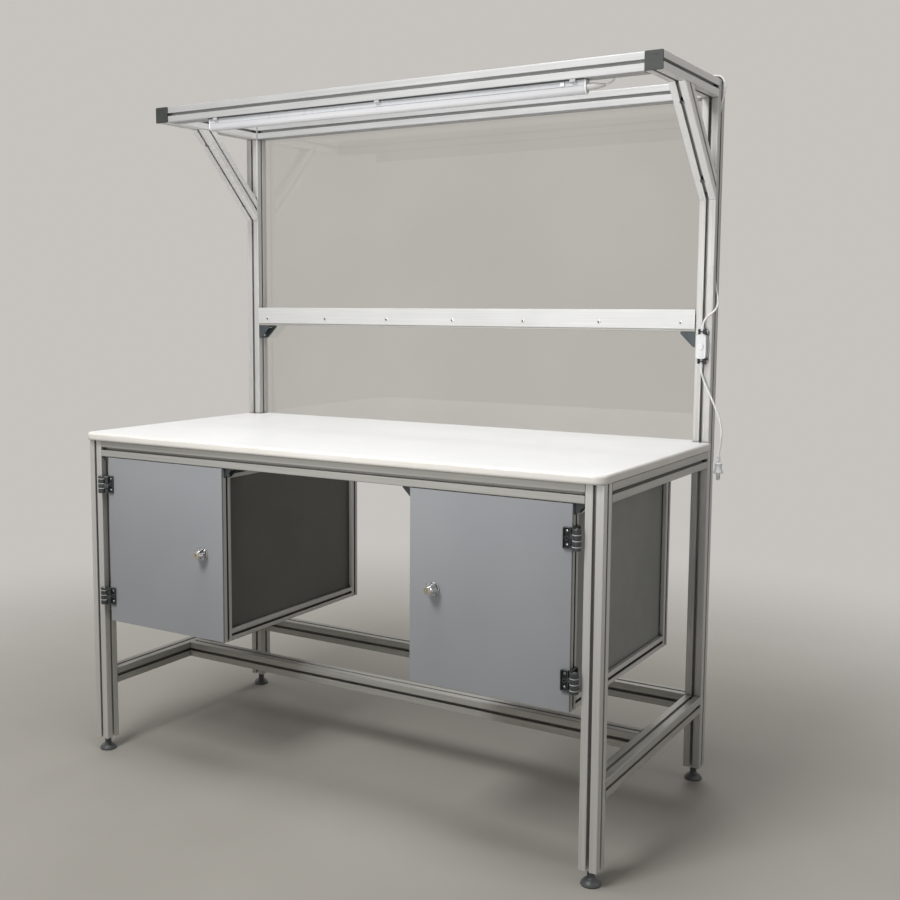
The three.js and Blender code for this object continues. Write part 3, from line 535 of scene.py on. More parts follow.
def switch_sleeve(name, end, way):
    profile = [(0, 0), (SLEEVE_WIDE, 0)]
    for i in range(SLEEVE_RINGS):
        radius = SLEEVE_WIDE + (SLEEVE_SLIM - SLEEVE_WIDE) * (i + 0.5) / SLEEVE_RINGS
        start = SLEEVE_LENGTH * (i + 0.35) / SLEEVE_RINGS
        profile += [(radius + 0.3, start), (radius + 0.25, start + 1.6), (radius - 0.3, start + 2.0)]
    profile += [(SLEEVE_SLIM, SLEEVE_LENGTH - 0.6), (SLEEVE_SLIM - 0.4, SLEEVE_LENGTH), (0, SLEEVE_LENGTH)]
    shape = turned(profile, (SWITCH_X, SWITCH_Y, end), "z", way, 24)
    return piece(name, [shape], [WHITE], "bench")


LAMP_RELIEF = lamp_sleeve()
UPPER_RELIEF = switch_sleeve("switch_upper_strain_relief", SWITCH_ZS[1], 1)
LOWER_RELIEF = switch_sleeve("switch_lower_strain_relief", SWITCH_ZS[0], -1)

# Plug: ringed relief below a collar, waisted body, flared nose and two blades
PLUG_X, PLUG_Y = METRE * PLUG_ROUTE[-1][0], METRE * PLUG_ROUTE[-1][1]
PLUG_TOP = span("plug")[2][1]
PLUG_LENGTH = 45
PLUG_RINGS = 4
BLADE_APART = 12.7
BLADE_WIDE = 6.4
BLADE_THICK = 1.5
BLADE_LENGTH = 18


def make_plug():
    profile = [(0, 0), (5.0, 0), (5.4, 0.5), (5.4, 2.2), (4.2, 2.9)]
    for i in range(PLUG_RINGS):
        start = 3.6 + 3.5 * i
        radius = 4.2 + 0.2 * i
        profile += [(radius, start), (radius, start + 1.9), (radius - 0.5, start + 2.2), (radius - 0.5, start + 3.2)]
    profile += [
        (4.8, 18), (8.8, 18.8), (9.6, 19.6), (9.6, 21.6), (8.9, 22.6), (8.7, 24), (9.0, 32), (9.5, 35),
        (10.6, 37.8), (12.0, 40.4), (12.5, 41.6), (12.5, 44), (11.8, PLUG_LENGTH), (0, PLUG_LENGTH),
    ]
    shapes = [turned(profile, (PLUG_X, PLUG_Y, PLUG_TOP), "z", -1, 32)]
    face = PLUG_TOP - PLUG_LENGTH
    for side in (-1, 1):
        y = PLUG_Y + side * BLADE_APART / 2
        xs = (PLUG_X - BLADE_WIDE / 2, PLUG_X + BLADE_WIDE / 2)
        ys = (y - BLADE_THICK / 2, y + BLADE_THICK / 2)
        shapes.append(slab(xs, ys, (face - BLADE_LENGTH, face + 0.5), 0.4, 2, 1))
    return piece("plug_moulding", shapes, [WHITE, BLADE_METAL], "bench", ["plug"])


PLUG = make_plug()


# Finishes of the solids that stay as they are
BAR_AXES = {
    "x": ["front_apron", "rear_apron", "worktop_bearer", "middle_stretcher", "rear_stretcher",
          "hanging_crossbar"],
    "y": ["left_apron", "right_apron", "left_base_rail", "right_base_rail"],
    "z": ["front_left_leg", "front_right_leg", "left_cabinet_frame", "right_cabinet_frame"],
}


def dress(node, finish):
    NODES[node].data.materials.clear()
    NODES[node].data.materials.append(finish)


for axis, names in BAR_AXES.items():
    for name in names:
        dress(name, ALUMINIUM[axis])
for name in ("canopy_front_rail", "canopy_rear_rail"):
    dress(name, CANOPY_ALUMINIUM)
dress("back_panel", CLEAR)
NODES["back_panel"].visible_shadow = False
for word, side in SIDES:
    dress(f"rear_{word}_post", POST_ALUMINIUM)
    dress(f"{word}_arm", ARM_ALUMINIUM)
    dress(f"{word}_brace", SLOPING_ALUMINIUM)
    for sheet in ("outer", "back", "floor"):
        dress(f"{word}_cabinet_{sheet}_panel", PANEL_GREY)
    dress(f"{word}_cabinet_inner_panel", SHADED_GREY)

# Worktop: white laminate with a rounded edge band, reaching back between the posts
WORKTOP_CORNER = 30
WORKTOP_EDGE = 7
POST_CLEARANCE = 1


def make_worktop():
    (left, right), (front, back), zs = span("worktop")
    inside = span("rear_right_post")[0][0] - POST_CLEARANCE
    shoulder = span("rear_right_post")[1][0] - POST_CLEARANCE
    radius = WORKTOP_CORNER
    outline = [
        *arc(left + radius, front + radius, radius, 180, 270, 10),
        *arc(right - radius, front + radius, radius, 270, 360, 10),
        (right, shoulder), (inside, shoulder), (inside, back), (-inside, back), (-inside, shoulder),
        (left, shoulder),
    ]
    shape = prism("xy", outline, *zs, WORKTOP_EDGE, 5, all_edges=False)
    for face in shape.faces:
        # The edge faces take the edge laminate, which carries painted shade.
        face.material_index = 0 if abs(face.normal.z) > 0.9 else 1
    piece("worktop_slab", [shape], [LAMINATE, EDGE_BAND_AND_SHADE], "bench", ["worktop"])


make_worktop()

# Hanging rail strip with its screws
SCREW_XS = (-698, -466, -233, 0, 233, 466, 698)
RAIL_SCREW_Z = 1250
RAIL_SCREW = 5.0


def make_hanging_rail():
    xs, ys, zs = span("hanging_rail")
    shapes = [prism("yz", rectangle(ys, zs), *xs, 0.6, 2)]
    for x in SCREW_XS:
        shapes += screw((x, ys[0], RAIL_SCREW_Z), "y", -1, RAIL_SCREW, 1.4)
    finishes = [STRIP_ALUMINIUM, STEEL, BLACK]
    piece("hanging_rail_strip", shapes, finishes, "bench", ["hanging_rail"])


make_hanging_rail()

# Gussets: two flanges between two webs, and a screw in each flange
FLANGE_INSET = 0.5
WEB_SHARE = 0.7
SCREW_PLACE = 0.7
SCREW_SHARE = 0.17


def gusset(name, corner, way, size, wall, width, paint, replaces=()):
    """A corner bracket below and beside its corner; way is the side that it reaches to."""
    x, y, z = corner
    half = width / 2
    flange_ys = (y - half + FLANGE_INSET, y + half - FLANGE_INSET)
    shapes = [
        slab(sorted((x, x + way * wall)), flange_ys, (z - size + 0.3, z), 0.7),
        slab(sorted((x, x + way * (size - 0.3))), flange_ys, (z - wall, z), 0.7),
    ]
    web = [(x, z), (x + way * size, z), (x + way * size, z - wall), (x + way * wall, z - size), (x, z - size)]
    for end in (-1, 1):
        outer = y + end * half
        shapes.append(prism("xz", web, outer - end * wall * WEB_SHARE, outer, 0.7))
    radius = width * SCREW_SHARE
    shapes += screw((x + way * wall, y, z - size * SCREW_PLACE), "x", way, radius, 3)
    shapes += screw((x + way * size * SCREW_PLACE, y, z - wall), "z", -1, radius, 3)
    piece(name, shapes, [paint, STEEL, BLACK], "bench", replaces)


BRACKET_WALL = 6
CABINET_GUSSET = 27
GUSSET_WALL = 4
APRON_UNDERSIDE = span("front_apron")[2][0]


def make_gussets(word, side):
    node = f"{word}_crossbar_bracket"
    xs, ys, zs = span(node)
    corner = (max(xs, key=abs), middle(ys), zs[1])
    gusset(f"{word}_crossbar_gusset", corner, -side, xs[1] - xs[0], BRACKET_WALL, ys[1] - ys[0], SLATE, [node])
    inner, outer = sorted(abs(x) for x in span(f"{word}_cabinet_frame")[0])
    for place, bar in (("front", "front_apron"), ("rear", "worktop_bearer")):
        y = middle(span(bar)[1])
        for face, x, way in (("inner", inner, -side), ("outer", outer, side)):
            label = f"{word}_cabinet_{place}_{face}_gusset"
            corner = (side * x, y, APRON_UNDERSIDE)
            # The cabinets' gussets take the darker hinge slate, not the crossbar gussets' slate: painted shade.
            gusset(label, corner, way, CABINET_GUSSET, GUSSET_WALL, CABINET_GUSSET, HINGE_SLATE_AND_GUSSET_SHADE)


for word, side in SIDES:
    make_gussets(word, side)

# Bolts that hold the braces, at the bottom of the holes for their key
BOLTS_APART = 245
BOLT_DEPTH = 20
BOLT_RADIUS = 6.4
BOLT_HEIGHT = 11


def make_brace_bolts(word):
    xs, ys, zs = span(f"{word}_brace")
    shapes = []
    for end in (-1, 1):
        shapes += screw((0, -BOLT_DEPTH, end * BOLTS_APART / 2), "y", 1, BOLT_RADIUS, BOLT_HEIGHT, 0, 0)
    face = Matrix.Translation((middle(xs), middle(ys), middle(zs))) @ Matrix.Rotation(math.radians(-135), 4, "X")
    for shape in shapes:
        shape.transform(face)
    piece(f"{word}_brace_bolts", shapes, [BLACK], "bench")


for word, side in SIDES:
    make_brace_bolts(word)

# End caps on the arms and posts
CAP_THICKNESS = 3.5
CAP_CORNER = 2.5
CAP_EDGE = 1.0


def make_caps(word):
    xs, ys, zs = span(f"{word}_arm")
    front = ys[0] - CAP_THICKNESS
    plate = prism("xz", round_rectangle(xs, zs, CAP_CORNER), front, ys[0], CAP_EDGE, 3, all_edges=False)
    x = middle(xs)
    pry_edge = round_rectangle((x - 9, x + 9), (zs[1] - 9.2, zs[1] - 7.4), 0.8)
    notch = prism("xz", pry_edge, front - 0.5, front + 0.5, 0.3)
    piece(f"{word}_arm_cap", [plate, notch], [CAP_GREY], "bench")
    xs, ys, zs = span(f"rear_{word}_post")
    outline = round_rectangle(xs, ys, CAP_CORNER)
    top = prism("xy", outline, zs[1], zs[1] + CAP_THICKNESS, CAP_EDGE, 3, all_edges=False)
    piece(f"{word}_post_cap", [top], [CAP_GREY], "bench")


for word, side in SIDES:
    make_caps(word)

# Cover strip over the lead in the right post's side slot
COVER_ZS = (1382, 1772)
COVER_HALF = 4.0


def make_slot_cover():
    xs, ys, zs = span("rear_right_post")
    face, y = xs[1], middle(ys)
    outline = [
        (face - 1.8, y - COVER_HALF), (face - 0.6, y - COVER_HALF + 0.6), (face - 0.4, y),
        (face - 0.6, y + COVER_HALF - 0.6), (face - 1.8, y + COVER_HALF),
    ]
    piece("post_slot_cover", [prism("xy", outline, *COVER_ZS, 0.2)], [COVER_BLACK], "bench")


make_slot_cover()

# Levelling feet: domed pad, rubber sole, threaded stud; a lock nut under the leg
STUD_RADIUS = 5.0
THREAD_PITCH = 1.5
THREAD_DEPTH = 0.5
NECK_TOP = 30
NUT_HEIGHT = 5
NUT_RADIUS = 9.3


def make_foot(place, word):
    node = f"{place}_{word}_foot"
    xs, ys, zs = span(node)
    x, y = middle(xs), middle(ys)
    radius = (xs[1] - xs[0]) / 2
    sole = [(0, 0), (radius - 1.5, 0), (radius - 1.2, 1.6), (0, 1.6)]
    dome = [
        (0, 1.4), (radius - 0.6, 1.4), (radius, 2.0), (radius, 3.6), (radius - 0.5, 4.6), (radius - 1.6, 7.2),
        (radius - 3.6, 10), (radius - 6.6, 12.8), (radius - 10.2, 15), (radius - 13, 16.6), (9.4, 18), (9.0, 19),
        (9.0, NECK_TOP - 1.2), (8.2, NECK_TOP), (0, NECK_TOP),
    ]
    thread = [(0, NECK_TOP - 1)]
    turns = int((zs[1] - NECK_TOP - 4) / THREAD_PITCH)
    for i in range(turns):
        start = NECK_TOP + THREAD_PITCH * i
        thread += [(STUD_RADIUS - THREAD_DEPTH, start), (STUD_RADIUS, start + THREAD_PITCH / 2)]
    thread += [(STUD_RADIUS - THREAD_DEPTH, zs[1] - 0.8), (STUD_RADIUS - 1.2, zs[1]), (0, zs[1])]
    shapes = [
        turned(sole, (x, y, 0), finish=1, steps=48),
        turned(dome, (x, y, 0), steps=48),
        turned(thread, (x, y, 0), finish=2, steps=24),
    ]
    piece(f"{node}_pad", shapes, [FOOT_GREY, RUBBER, STEEL], node, [node])
    leg = f"front_{word}_leg" if place == "front" else f"rear_{word}_post"
    underside = span(leg)[2][0]
    bore = circle(x, y, STUD_RADIUS + 0.1, 24)
    nut = prism(
        "xy", circle(x, y, NUT_RADIUS, 6), underside - NUT_HEIGHT, underside - 0.1, 0.5, 2, holes=[bore])
    piece(f"{place}_{word}_lock_nut", [nut], [STEEL], "bench")


for word, side in SIDES:
    make_foot("front", word)
    make_foot("rear", word)

# Doors with their knobs
HOLE_RADIUS = 7
DOOR_SOFT = 0.8
KNOB_RADIUS = 16.2
KNOB_NOSE = 11.5
LOBE = 2.2
LOBES = 6
NECK_RADIUS = 12
ROSETTE = 4
GRIP_LENGTH = 18
BOSS_LENGTH = 3
BOSS_RADIUS = 9.8
KEY_RADIUS = 7.4
SHAFT_RADIUS = 6
CAM_WIDTH = 14
CAM_THICKNESS = 3


def make_door(word):
    xs, ys, zs = span(f"{word}_door")
    knob_x = middle(span(f"{word}_knob")[0])
    hole = circle(knob_x, middle(zs), HOLE_RADIUS, 32)
    sheet = prism("xz", rectangle(xs, zs), *ys, DOOR_SOFT, 2, holes=[hole])
    piece(f"{word}_door_sheet", [sheet], [DOOR_GREY], f"{word}_door", [f"{word}_door"])


def knob_grip(start, end):
    """Profile of the tapered grip, with the share of the lobes' depth at each of its points."""
    points = [
        (0, start, 0), (KNOB_NOSE - 2.2, start, 0), (KNOB_NOSE - 0.6, start + 0.5, 0.25),
        (KNOB_NOSE + 0.2, start + 2, 0.5), (middle((KNOB_NOSE, KNOB_RADIUS)), middle((start, end)), 0.9),
        (KNOB_RADIUS - 0.3, end - 4, 1), (KNOB_RADIUS, end - 2.4, 1), (KNOB_RADIUS - 0.8, end - 0.9, 0.8),
        (NECK_RADIUS + 1, end, 0.2), (0, end, 0),
    ]
    return [point[:2] for point in points], [point[2] for point in points]


def make_knob(word):
    node = f"{word}_knob"
    xs, ys, zs = span(node)
    x, z = middle(xs), middle(span(f"{word}_door")[2])
    front = ys[0]
    place = (x, front, z)
    length = span(f"{word}_door")[1][0] - 0.3 - front
    grip_end = BOSS_LENGTH + GRIP_LENGTH
    grip, lobe_shares = knob_grip(BOSS_LENGTH, grip_end)

    def lobed(radius, angle, station):
        return radius + LOBE * lobe_shares[station] * (2 * abs(math.cos(LOBES * angle / 2)) - 1)

    boss = [
        (0, 1.0), (KEY_RADIUS + 0.2, 1.0), (KEY_RADIUS + 0.5, 0), (BOSS_RADIUS - 0.7, 0), (BOSS_RADIUS, 0.8),
        (BOSS_RADIUS, BOSS_LENGTH + 0.5), (0, BOSS_LENGTH + 0.5),
    ]
    neck = [
        (0, grip_end - 0.5), (NECK_RADIUS, grip_end - 0.5), (NECK_RADIUS - 0.8, grip_end + 2),
        (NECK_RADIUS, length - ROSETTE + 0.5), (0, length - ROSETTE + 0.5),
    ]
    rosette = [
        (0, length - ROSETTE), (KNOB_RADIUS - 1.4, length - ROSETTE), (KNOB_RADIUS - 0.3, length - ROSETTE + 1.2),
        (KNOB_RADIUS, length - 0.8), (KNOB_RADIUS, length), (0, length),
    ]
    shaft = rod(SHAFT_RADIUS, length - 0.5, ys[1] - front, 0.5)
    cam = round_rectangle((x - CAM_WIDTH / 2, x + CAM_WIDTH / 2), zs, 4)
    shapes = [
        turned(boss, place, "y", 1, 40),
        turned(grip, place, "y", 1, 96, shape=lobed),
        turned(neck, place, "y", 1, 40),
        turned(rosette, place, "y", 1, 48),
        turned(shaft, place, "y", 1, 28, 2),
        turned(rod(KEY_RADIUS, 0.5, 1.5, 0.3), place, "y", 1, 32, 1),
        # A black slit in the key face: painted shade of the keyway.
        slab((x - 0.8, x + 0.8), (front + 0.3, front + 1), (z - 4, z + 4), 0.2, 1, 3),
        prism("xz", cam, ys[1] - CAM_THICKNESS, ys[1], 0.4, finish=2),
    ]
    piece(f"{word}_knob_turned", shapes, [CHROME, NICKEL, STEEL, BLACK], node, [node])


for word, side in SIDES:
    make_door(word)
    make_knob(word)

# Hinges: one leaf on the door's face, one on the cabinet's side with the pin; four knuckles that belong
# to the frame and the door in turn, upside down on the left, with pale washers between them; their pale
# colour is partly the washers' own and partly a painted highlight of the knuckles' edges
HINGE_BARREL = 10.5
HINGE_PIN = 3.0
HINGE_BORE = 3.2
HINGE_JOINTS = (11, -2.5, -16)
HINGE_PLATE = 6
HINGE_OUTSET = 15.8
HINGE_PROUD = 10.9
WASHER_HALF = 0.9
WASHER_RADIUS = 10.3
KNUCKLE_TRIM = 1.0
END_TRIM = 0.2
BARREL_EDGE = 0.9
LEAF_REACH = 20.5
LEAF_CLEARANCE = 1
LEAF_SETBACK = 3
LEAF_BACK = 27
LEAF_FLOOR = 1.4
LEAF_RIM = 2.2
LEAF_CORNER = 2.5
ARM_ROOT = 4
SCREW_SPREAD = 15.5
LEAF_SCREW = 3.6
EYE_RADIUS = 5.2
EYE_BORE = 2.7


def bored_rod(place, low, high, radius, edge, finish=0):
    """A round collar on the hinge pin, with eased ends."""
    profile = [
        (HINGE_BORE, low), (radius - edge, low), (radius, low + edge), (radius, high - edge), (radius - edge, high),
        (HINGE_BORE, high),
    ]
    return turned(profile, (*place, 0), "z", 1, 36, finish, bored=True)


def knuckle_spans(side, z, half, first):
    """Lowest and highest places of every second knuckle, from the first or the second on."""
    ends = [half, *HINGE_JOINTS, -half]
    trims = [END_TRIM, *[KNUCKLE_TRIM] * len(HINGE_JOINTS), END_TRIM]
    spans = []
    for i in range(first, len(ends) - 1, 2):
        high, low = ends[i] - trims[i], ends[i + 1] + trims[i + 1]
        spans.append(sorted((z + side * low, z + side * high)))
    return spans


def leaf_plate(plane, us, zs, back, front):
    """Hinge plate: a near-black floor inside a raised rim, a bored eye and two screws; the floor's black is painted
    shade, the rim's and eye's lighter slate painted light.
    """
    way = math.copysign(1, front - back)
    axis = "xyz"[PLANES[plane][2]]
    u, z = middle(us), middle(zs)
    floor = back + way * LEAF_FLOOR
    foot = floor - way * 0.4
    inset_us = (us[0] + LEAF_RIM, us[1] - LEAF_RIM)
    inset_zs = (zs[0] + LEAF_RIM, zs[1] - LEAF_RIM)
    rim = round_rectangle(us, zs, LEAF_CORNER)
    well = round_rectangle(inset_us, inset_zs, 1.5)
    shapes = [
        prism(plane, rim, back, foot, 0.3),
        prism(plane, round_rectangle(inset_us, inset_zs, 1.2), foot - way * 0.4, floor, finish=2),
        prism(plane, rim, foot - way * 0.4, front, 0.8, 3, 4, [well]),
        prism(plane, circle(u, z, EYE_RADIUS), foot, front - way * 0.5, 0.6, 2, 4, [circle(u, z, EYE_BORE)]),
    ]
    for end in (-1, 1):
        place = point_in(plane, u, z + end * SCREW_SPREAD, floor)
        shapes += screw(place, axis, way, LEAF_SCREW, 2.0)
    return shapes


def mirrored(side, points):
    return [(side * x, y) for x, y in points]


def knuckles(side, pin, spans, arm):
    """The arms from a leaf to the pin and the barrels at their ends."""
    shapes = []
    for low, high in spans:
        shapes.append(prism("xy", mirrored(side, arm), low, high, 0.5))
        shapes.append(bored_rod((side * pin[0], pin[1]), low, high, HINGE_BARREL, BARREL_EDGE))
    return shapes


def make_hinge(word, side, level):
    name = f"{word}_{level}_hinge"
    finishes = [HINGE_SLATE_AND_GUSSET_SHADE, STEEL, SHADED_HINGE_WELL, WASHER_GREY_AND_HIGHLIGHT, LIT_HINGE_RIM]
    low, high = span(f"{name}_fixed_leaf")[2]
    z, half = (low + high) / 2, (high - low) / 2
    door_front = span(f"{word}_door")[1][0]
    outer = max(abs(x) for x in span(f"{word}_door")[0])
    pin = pin_x, pin_y = outer + HINGE_OUTSET, door_front - HINGE_PROUD

    back, front = door_front - 0.3, door_front - 0.3 - HINGE_PLATE
    inner_x, outer_x = outer - LEAF_REACH, outer - LEAF_CLEARANCE
    shapes = leaf_plate("xz", sorted((side * inner_x, side * outer_x)), (low, high), back, front)
    door_arm = [
        (outer_x - ARM_ROOT, back), (outer_x - ARM_ROOT, front), (pin_x - 6, pin_y - 6), (pin_x - 5, pin_y),
        (pin_x - 5, pin_y + 8), (outer_x, back),
    ]
    shapes += knuckles(side, pin, knuckle_spans(side, z, half, 1), door_arm)
    piece(f"{name}_door_plate", shapes, finishes, f"{word}_door", [f"{name}_door_leaf"])

    face, outside = outer + 0.3, outer + 0.3 + HINGE_PLATE
    start_y = door_front + HINGE_PLATE + 0.3
    side_ys = (start_y - LEAF_SETBACK, start_y + LEAF_BACK)
    shapes = leaf_plate("yz", side_ys, (low, high), side * face, side * outside)
    fixed_arm = [
        (face, start_y), (face, pin_y + 6), (pin_x - 8, pin_y), pin, (pin_x + 4, pin_y + 8), (outside, start_y),
    ]
    shapes += knuckles(side, pin, knuckle_spans(side, z, half, 0), fixed_arm)
    place = (side * pin_x, pin_y)
    shapes.append(turned(rod(HINGE_PIN, low, high, 0.6), (*place, 0), "z", 1, 24, 1))
    for joint in HINGE_JOINTS:
        washer_z = z + side * joint
        shapes.append(bored_rod(place, washer_z - WASHER_HALF, washer_z + WASHER_HALF, WASHER_RADIUS, 0.3, 3))
    piece(f"{name}_frame_plate", shapes, finishes, "bench", [f"{name}_fixed_leaf"])


for word, side in SIDES:
    for level in ("lower", "upper"):
        make_hinge(word, side, level)

# Lamp: enamelled channel with end caps, opal cover, push button, a black strip of painted shade in the gap under the
# rail, and tabs
LAMP_END = 4
LENS_WALL = 2
SHADE_STRIP_INSET = 3
SHADE_STRIP_LIP = 1.5
SHADE_STRIP_HEIGHT = 1.3
TAB_XS = (-557, 0, 557)
TAB_HALF = 7.5


def lamp_section(inset, low, top, y, width):
    radius = width / 2 - inset
    return [*arc(y, low + width / 2, radius, 180, 360, 24), (y + radius, top), (y - radius, top)]


def make_lamp():
    (left, right), ys, (low, top) = span("lamp_housing")
    split = span("lamp_diffuser")[2][1] + 0.3
    y, width = middle(ys), ys[1] - ys[0]
    button = span("lamp_button")
    pocket = rectangle(
        (button[0][0] - 0.4, button[0][1] + 0.4), (button[2][0] - 0.4, button[2][1] + 0.4))
    inner = (left + LAMP_END - 0.5, right - LAMP_END + 0.5)
    shapes = [
        prism("xz", rectangle(inner, (split, top)), ys[0], ys[0] + 4, 0.8, 2, holes=[pocket]),
        prism("yz", rectangle((ys[0] + 3.2, ys[1]), (split, top)), *inner, 0.8, 2),
    ]
    for start in (left, right - LAMP_END):
        shapes.append(prism("yz", lamp_section(0, low, top, y, width), start, start + LAMP_END, 1.0, 3, 1))
    rail_front = span("canopy_front_rail")[1][0]
    # A black strip fills the gap between lamp and rail: painted shade of the gap.
    shade_strip_ys = (rail_front + SHADE_STRIP_LIP, ys[1] - SHADE_STRIP_INSET)
    shapes.append(slab(inner, shade_strip_ys, (top - 0.2, top + SHADE_STRIP_HEIGHT), 0.1, 1, 2))
    for x in TAB_XS:
        tab_ys = (rail_front + SHADE_STRIP_LIP - 0.4, ys[0] + SHADE_STRIP_INSET)
        shapes.append(slab((x - TAB_HALF, x + TAB_HALF), tab_ys, (top - 5, top + 1.4), 0.5, 2, 3))
    finishes = [ENAMEL, WHITE, BLACK, MILKY_GREY]
    piece("lamp_channel", shapes, finishes, "bench", ["lamp_housing"])
    outer = lamp_section(0, low, split - 0.3, y, width)
    inside = lamp_section(LENS_WALL, low, split - 0.3, y, width)
    section = [outer[-1], *outer[:-1], inside[-2], *reversed(inside[:-2]), inside[-1]]
    lens = prism("yz", section, *span("lamp_diffuser")[0])
    piece("lamp_cover", [lens], [OPAL], "bench", ["lamp_diffuser"])
    cap = slab(*button, 1.2, 3)
    piece("lamp_push_button", [cap], [BUTTON_WHITE], "lamp_button", ["lamp_button"])


make_lamp()

# Inline switch with its button and the two ties that hold the lead beside it
SWITCH_CORNER = 7
SWITCH_SOFT = 2.5
SWITCH_SEAM = 9
CORE_INSET = 0.8
TIE_HEIGHT = 13
TIE_PLATE = (-9.0, -7.0)
TIE_STRAP = (-7.5, 4.0)
TIE_BLOCK = (3.5, 11.5)
TIE_DISC = (11.0, 15.0)
TIE_FRONT = 7.6
STRAP_HALF = 1.6
DISC_RADIUS = 5.2


def make_switch():
    outline = round_rectangle(SWITCH_XS, SWITCH_ZS, SWITCH_CORNER, 8)
    button_xs, button_ys, button_zs = span("switch_button")
    radius = (button_xs[1] - button_xs[0]) / 2
    z = middle(button_zs)
    front, back = SWITCH_YS
    seam = front + SWITCH_SEAM
    hole = circle(SWITCH_X, z, radius + 0.3, 36)
    core_outline = round_rectangle(
        (SWITCH_XS[0] + CORE_INSET, SWITCH_XS[1] - CORE_INSET), (SWITCH_ZS[0] + CORE_INSET, SWITCH_ZS[1] - CORE_INSET),
        SWITCH_CORNER, 8)
    shapes = [
        prism("xz", outline, front, seam - 0.3, SWITCH_SOFT, 4, holes=[hole], all_edges=False),
        prism("xz", outline, seam, back, 0.5, 2, holes=[hole], all_edges=False),
        prism("xz", core_outline, seam - 2, seam + 2, holes=[hole]),
    ]
    piece("switch_shell", shapes, [WHITE], "bench", ["switch_body"])
    depth = button_ys[1] - button_ys[0]
    profile = [
        (0, 0.5), (radius * 0.5, 0.35), (radius - 1.2, 0), (radius - 0.3, 0.5), (radius, 1.4), (radius, depth),
        (0, depth),
    ]
    button = turned(profile, (SWITCH_X, button_ys[0], z), "y", 1, 36)
    piece("switch_push_button", [button], [BUTTON_WHITE], "switch_button", ["switch_button"])


def make_tie(word, z):
    """A tie across the lead: plate, strap, block and a milky washer, on the post's front face."""
    face = SWITCH_YS[1]
    front = SWITCH_Y - TIE_FRONT
    half = TIE_HEIGHT / 2

    def across(limits):
        return (SWITCH_X + limits[0], SWITCH_X + limits[1])

    washer_xs = across(TIE_DISC)
    washer = rod(DISC_RADIUS, 0, washer_xs[1] - washer_xs[0], 0.6)
    shapes = [
        slab(across(TIE_PLATE), (front, face), (z - half, z + half), 0.5),
        slab(across(TIE_STRAP), (front, front + 2), (z - STRAP_HALF, z + STRAP_HALF), 0.5),
        slab(across(TIE_BLOCK), (front, face), (z - half + 0.5, z + half - 0.5), 1.0, 3),
        turned(washer, (washer_xs[0], face - DISC_RADIUS, z), "x", 1, 28, 1),
    ]
    piece(f"{word}_lead_tie", shapes, [BLACK, MILKY_GREY], "bench")


make_switch()
make_tie("upper", SWITCH_ZS[1] + 1 + TIE_HEIGHT / 2)
make_tie("lower", SWITCH_ZS[0] - 1 - TIE_HEIGHT / 2)

# Floor, lamps and the pale surroundings
FLOOR_RADIUS = 7.0
FLOOR_FADE = (0.9, 3.2)
BACKGROUND = "c6c3bf"
FLOOR_TONES = ("a19d95", "aaa69e")
AMBIENT = 0.17
KEY = {"place": (-0.3, -2.7, 3.6), "target": (0, -0.2, 0.6), "size": (1.2, 1.2), "power": 83}
OVERHEAD = {"place": (0, -0.7, 4.2), "target": (0, -0.1, 0), "size": (2.0, 1.2), "power": 53}
BACK_FILL = {"place": (-0.6, 3.2, 3.2), "target": (0, 0.3, 0.9), "size": (2.4, 1.2), "power": 30}
FRONT_FILL = {"place": (0.6, -3.4, 1.0), "target": (0, 0, 1.85), "size": (1.2, 0.6), "power": 7, "spread": 50}
SIDE_FILL = {"target": (0, 0, 0.9), "size": (1.6, 1.6), "power": 11}
SIDE_FILL_PLACE = (3.8, 0.2, 2.3)


def make_floor():
    bm = bmesh.new()
    bmesh.ops.create_circle(bm, cap_ends=True, segments=96, radius=FLOOR_RADIUS)
    mesh = bpy.data.meshes.new("floor")
    bm.to_mesh(mesh)
    bm.free()
    finish = Finish("floor", roughness=0.6)
    finish.feed("Base Color", finish.ramp(finish.noise(1.2, 6.0), *FLOOR_TONES))
    distance = finish.node("VectorMath")
    distance.operation = "LENGTH"
    finish.tree.links.new(finish.place, distance.inputs[0])
    fade = finish.node(
        "MapRange", value=distance.outputs["Value"], from_min=FLOOR_FADE[0], from_max=FLOOR_FADE[1])
    fade.interpolation_type = "SMOOTHSTEP"
    clear = finish.tree.nodes.new("ShaderNodeBsdfTransparent")
    mixed = finish.tree.nodes.new("ShaderNodeMixShader")
    finish.tree.links.new(fade.outputs["Result"], mixed.inputs[0])
    finish.tree.links.new(finish.shader.outputs[0], mixed.inputs[1])
    finish.tree.links.new(clear.outputs[0], mixed.inputs[2])
    finish.tree.links.new(mixed.outputs[0], finish.tree.nodes["Material Output"].inputs[0])
    mesh.materials.append(finish.material)
    floor = bpy.data.objects.new("floor", mesh)
    bpy.context.scene.collection.objects.link(floor)


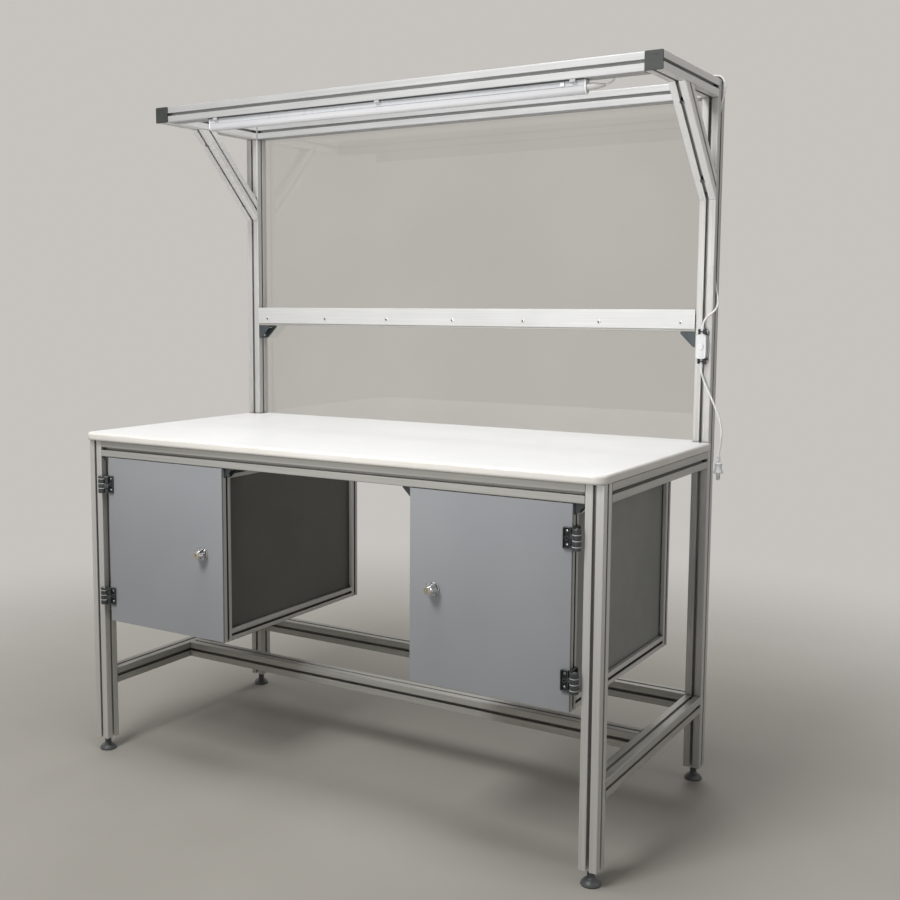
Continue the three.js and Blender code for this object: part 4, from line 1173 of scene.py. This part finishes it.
def make_world():
    world = bpy.data.worlds.new("surroundings")
    bpy.context.scene.world = world
    world.use_nodes = True
    tree = world.node_tree
    ambient = tree.nodes["Background"]
    ambient.inputs["Color"].default_value = (1.0, 1.0, 1.0, 1.0)
    ambient.inputs["Strength"].default_value = AMBIENT
    seen = tree.nodes.new("ShaderNodeBackground")
    seen.inputs["Color"].default_value = linear(BACKGROUND)
    path = tree.nodes.new("ShaderNodeLightPath")
    wanted = path.outputs["Is Camera Ray"]
    for ray in ("Is Glossy Ray", "Is Transmission Ray"):
        larger = tree.nodes.new("ShaderNodeMath")
        larger.operation = "MAXIMUM"
        tree.links.new(wanted, larger.inputs[0])
        tree.links.new(path.outputs[ray], larger.inputs[1])
        wanted = larger.outputs[0]
    mixed = tree.nodes.new("ShaderNodeMixShader")
    tree.links.new(wanted, mixed.inputs[0])
    tree.links.new(ambient.outputs[0], mixed.inputs[1])
    tree.links.new(seen.outputs[0], mixed.inputs[2])
    tree.links.new(mixed.outputs[0], tree.nodes["World Output"].inputs[0])


def left_dark(node):
    """A group that keeps the lamps' own reflections off a node."""
    group = bpy.data.collections.new("unlit")
    group.objects.link(NODES[node])
    group.collection_objects[0].light_linking.link_state = "EXCLUDE"
    return group


UNLIT = left_dark("back_panel")


def make_light(name, place, target, size, power, spread=180):
    data = bpy.data.lights.new(name, "AREA")
    data.shape = "RECTANGLE"
    data.size, data.size_y = size
    data.energy = power
    data.spread = math.radians(spread)
    light = bpy.data.objects.new(name, data)
    bpy.context.scene.collection.objects.link(light)
    light.light_linking.receiver_collection = UNLIT
    light.location = place
    light.rotation_euler = (Vector(target) - Vector(place)).to_track_quat("-Z", "Y").to_euler()


make_floor()
make_world()
make_light("key", **KEY)
make_light("overhead", **OVERHEAD)
make_light("front_fill", **FRONT_FILL)
make_light("back_fill", **BACK_FILL)
for side, way in (("left", -1), ("right", 1)):
    make_light(f"{side}_fill", place=(way * SIDE_FILL_PLACE[0], *SIDE_FILL_PLACE[1:]), **SIDE_FILL)

bpy.context.scene.view_settings.view_transform = "Standard"
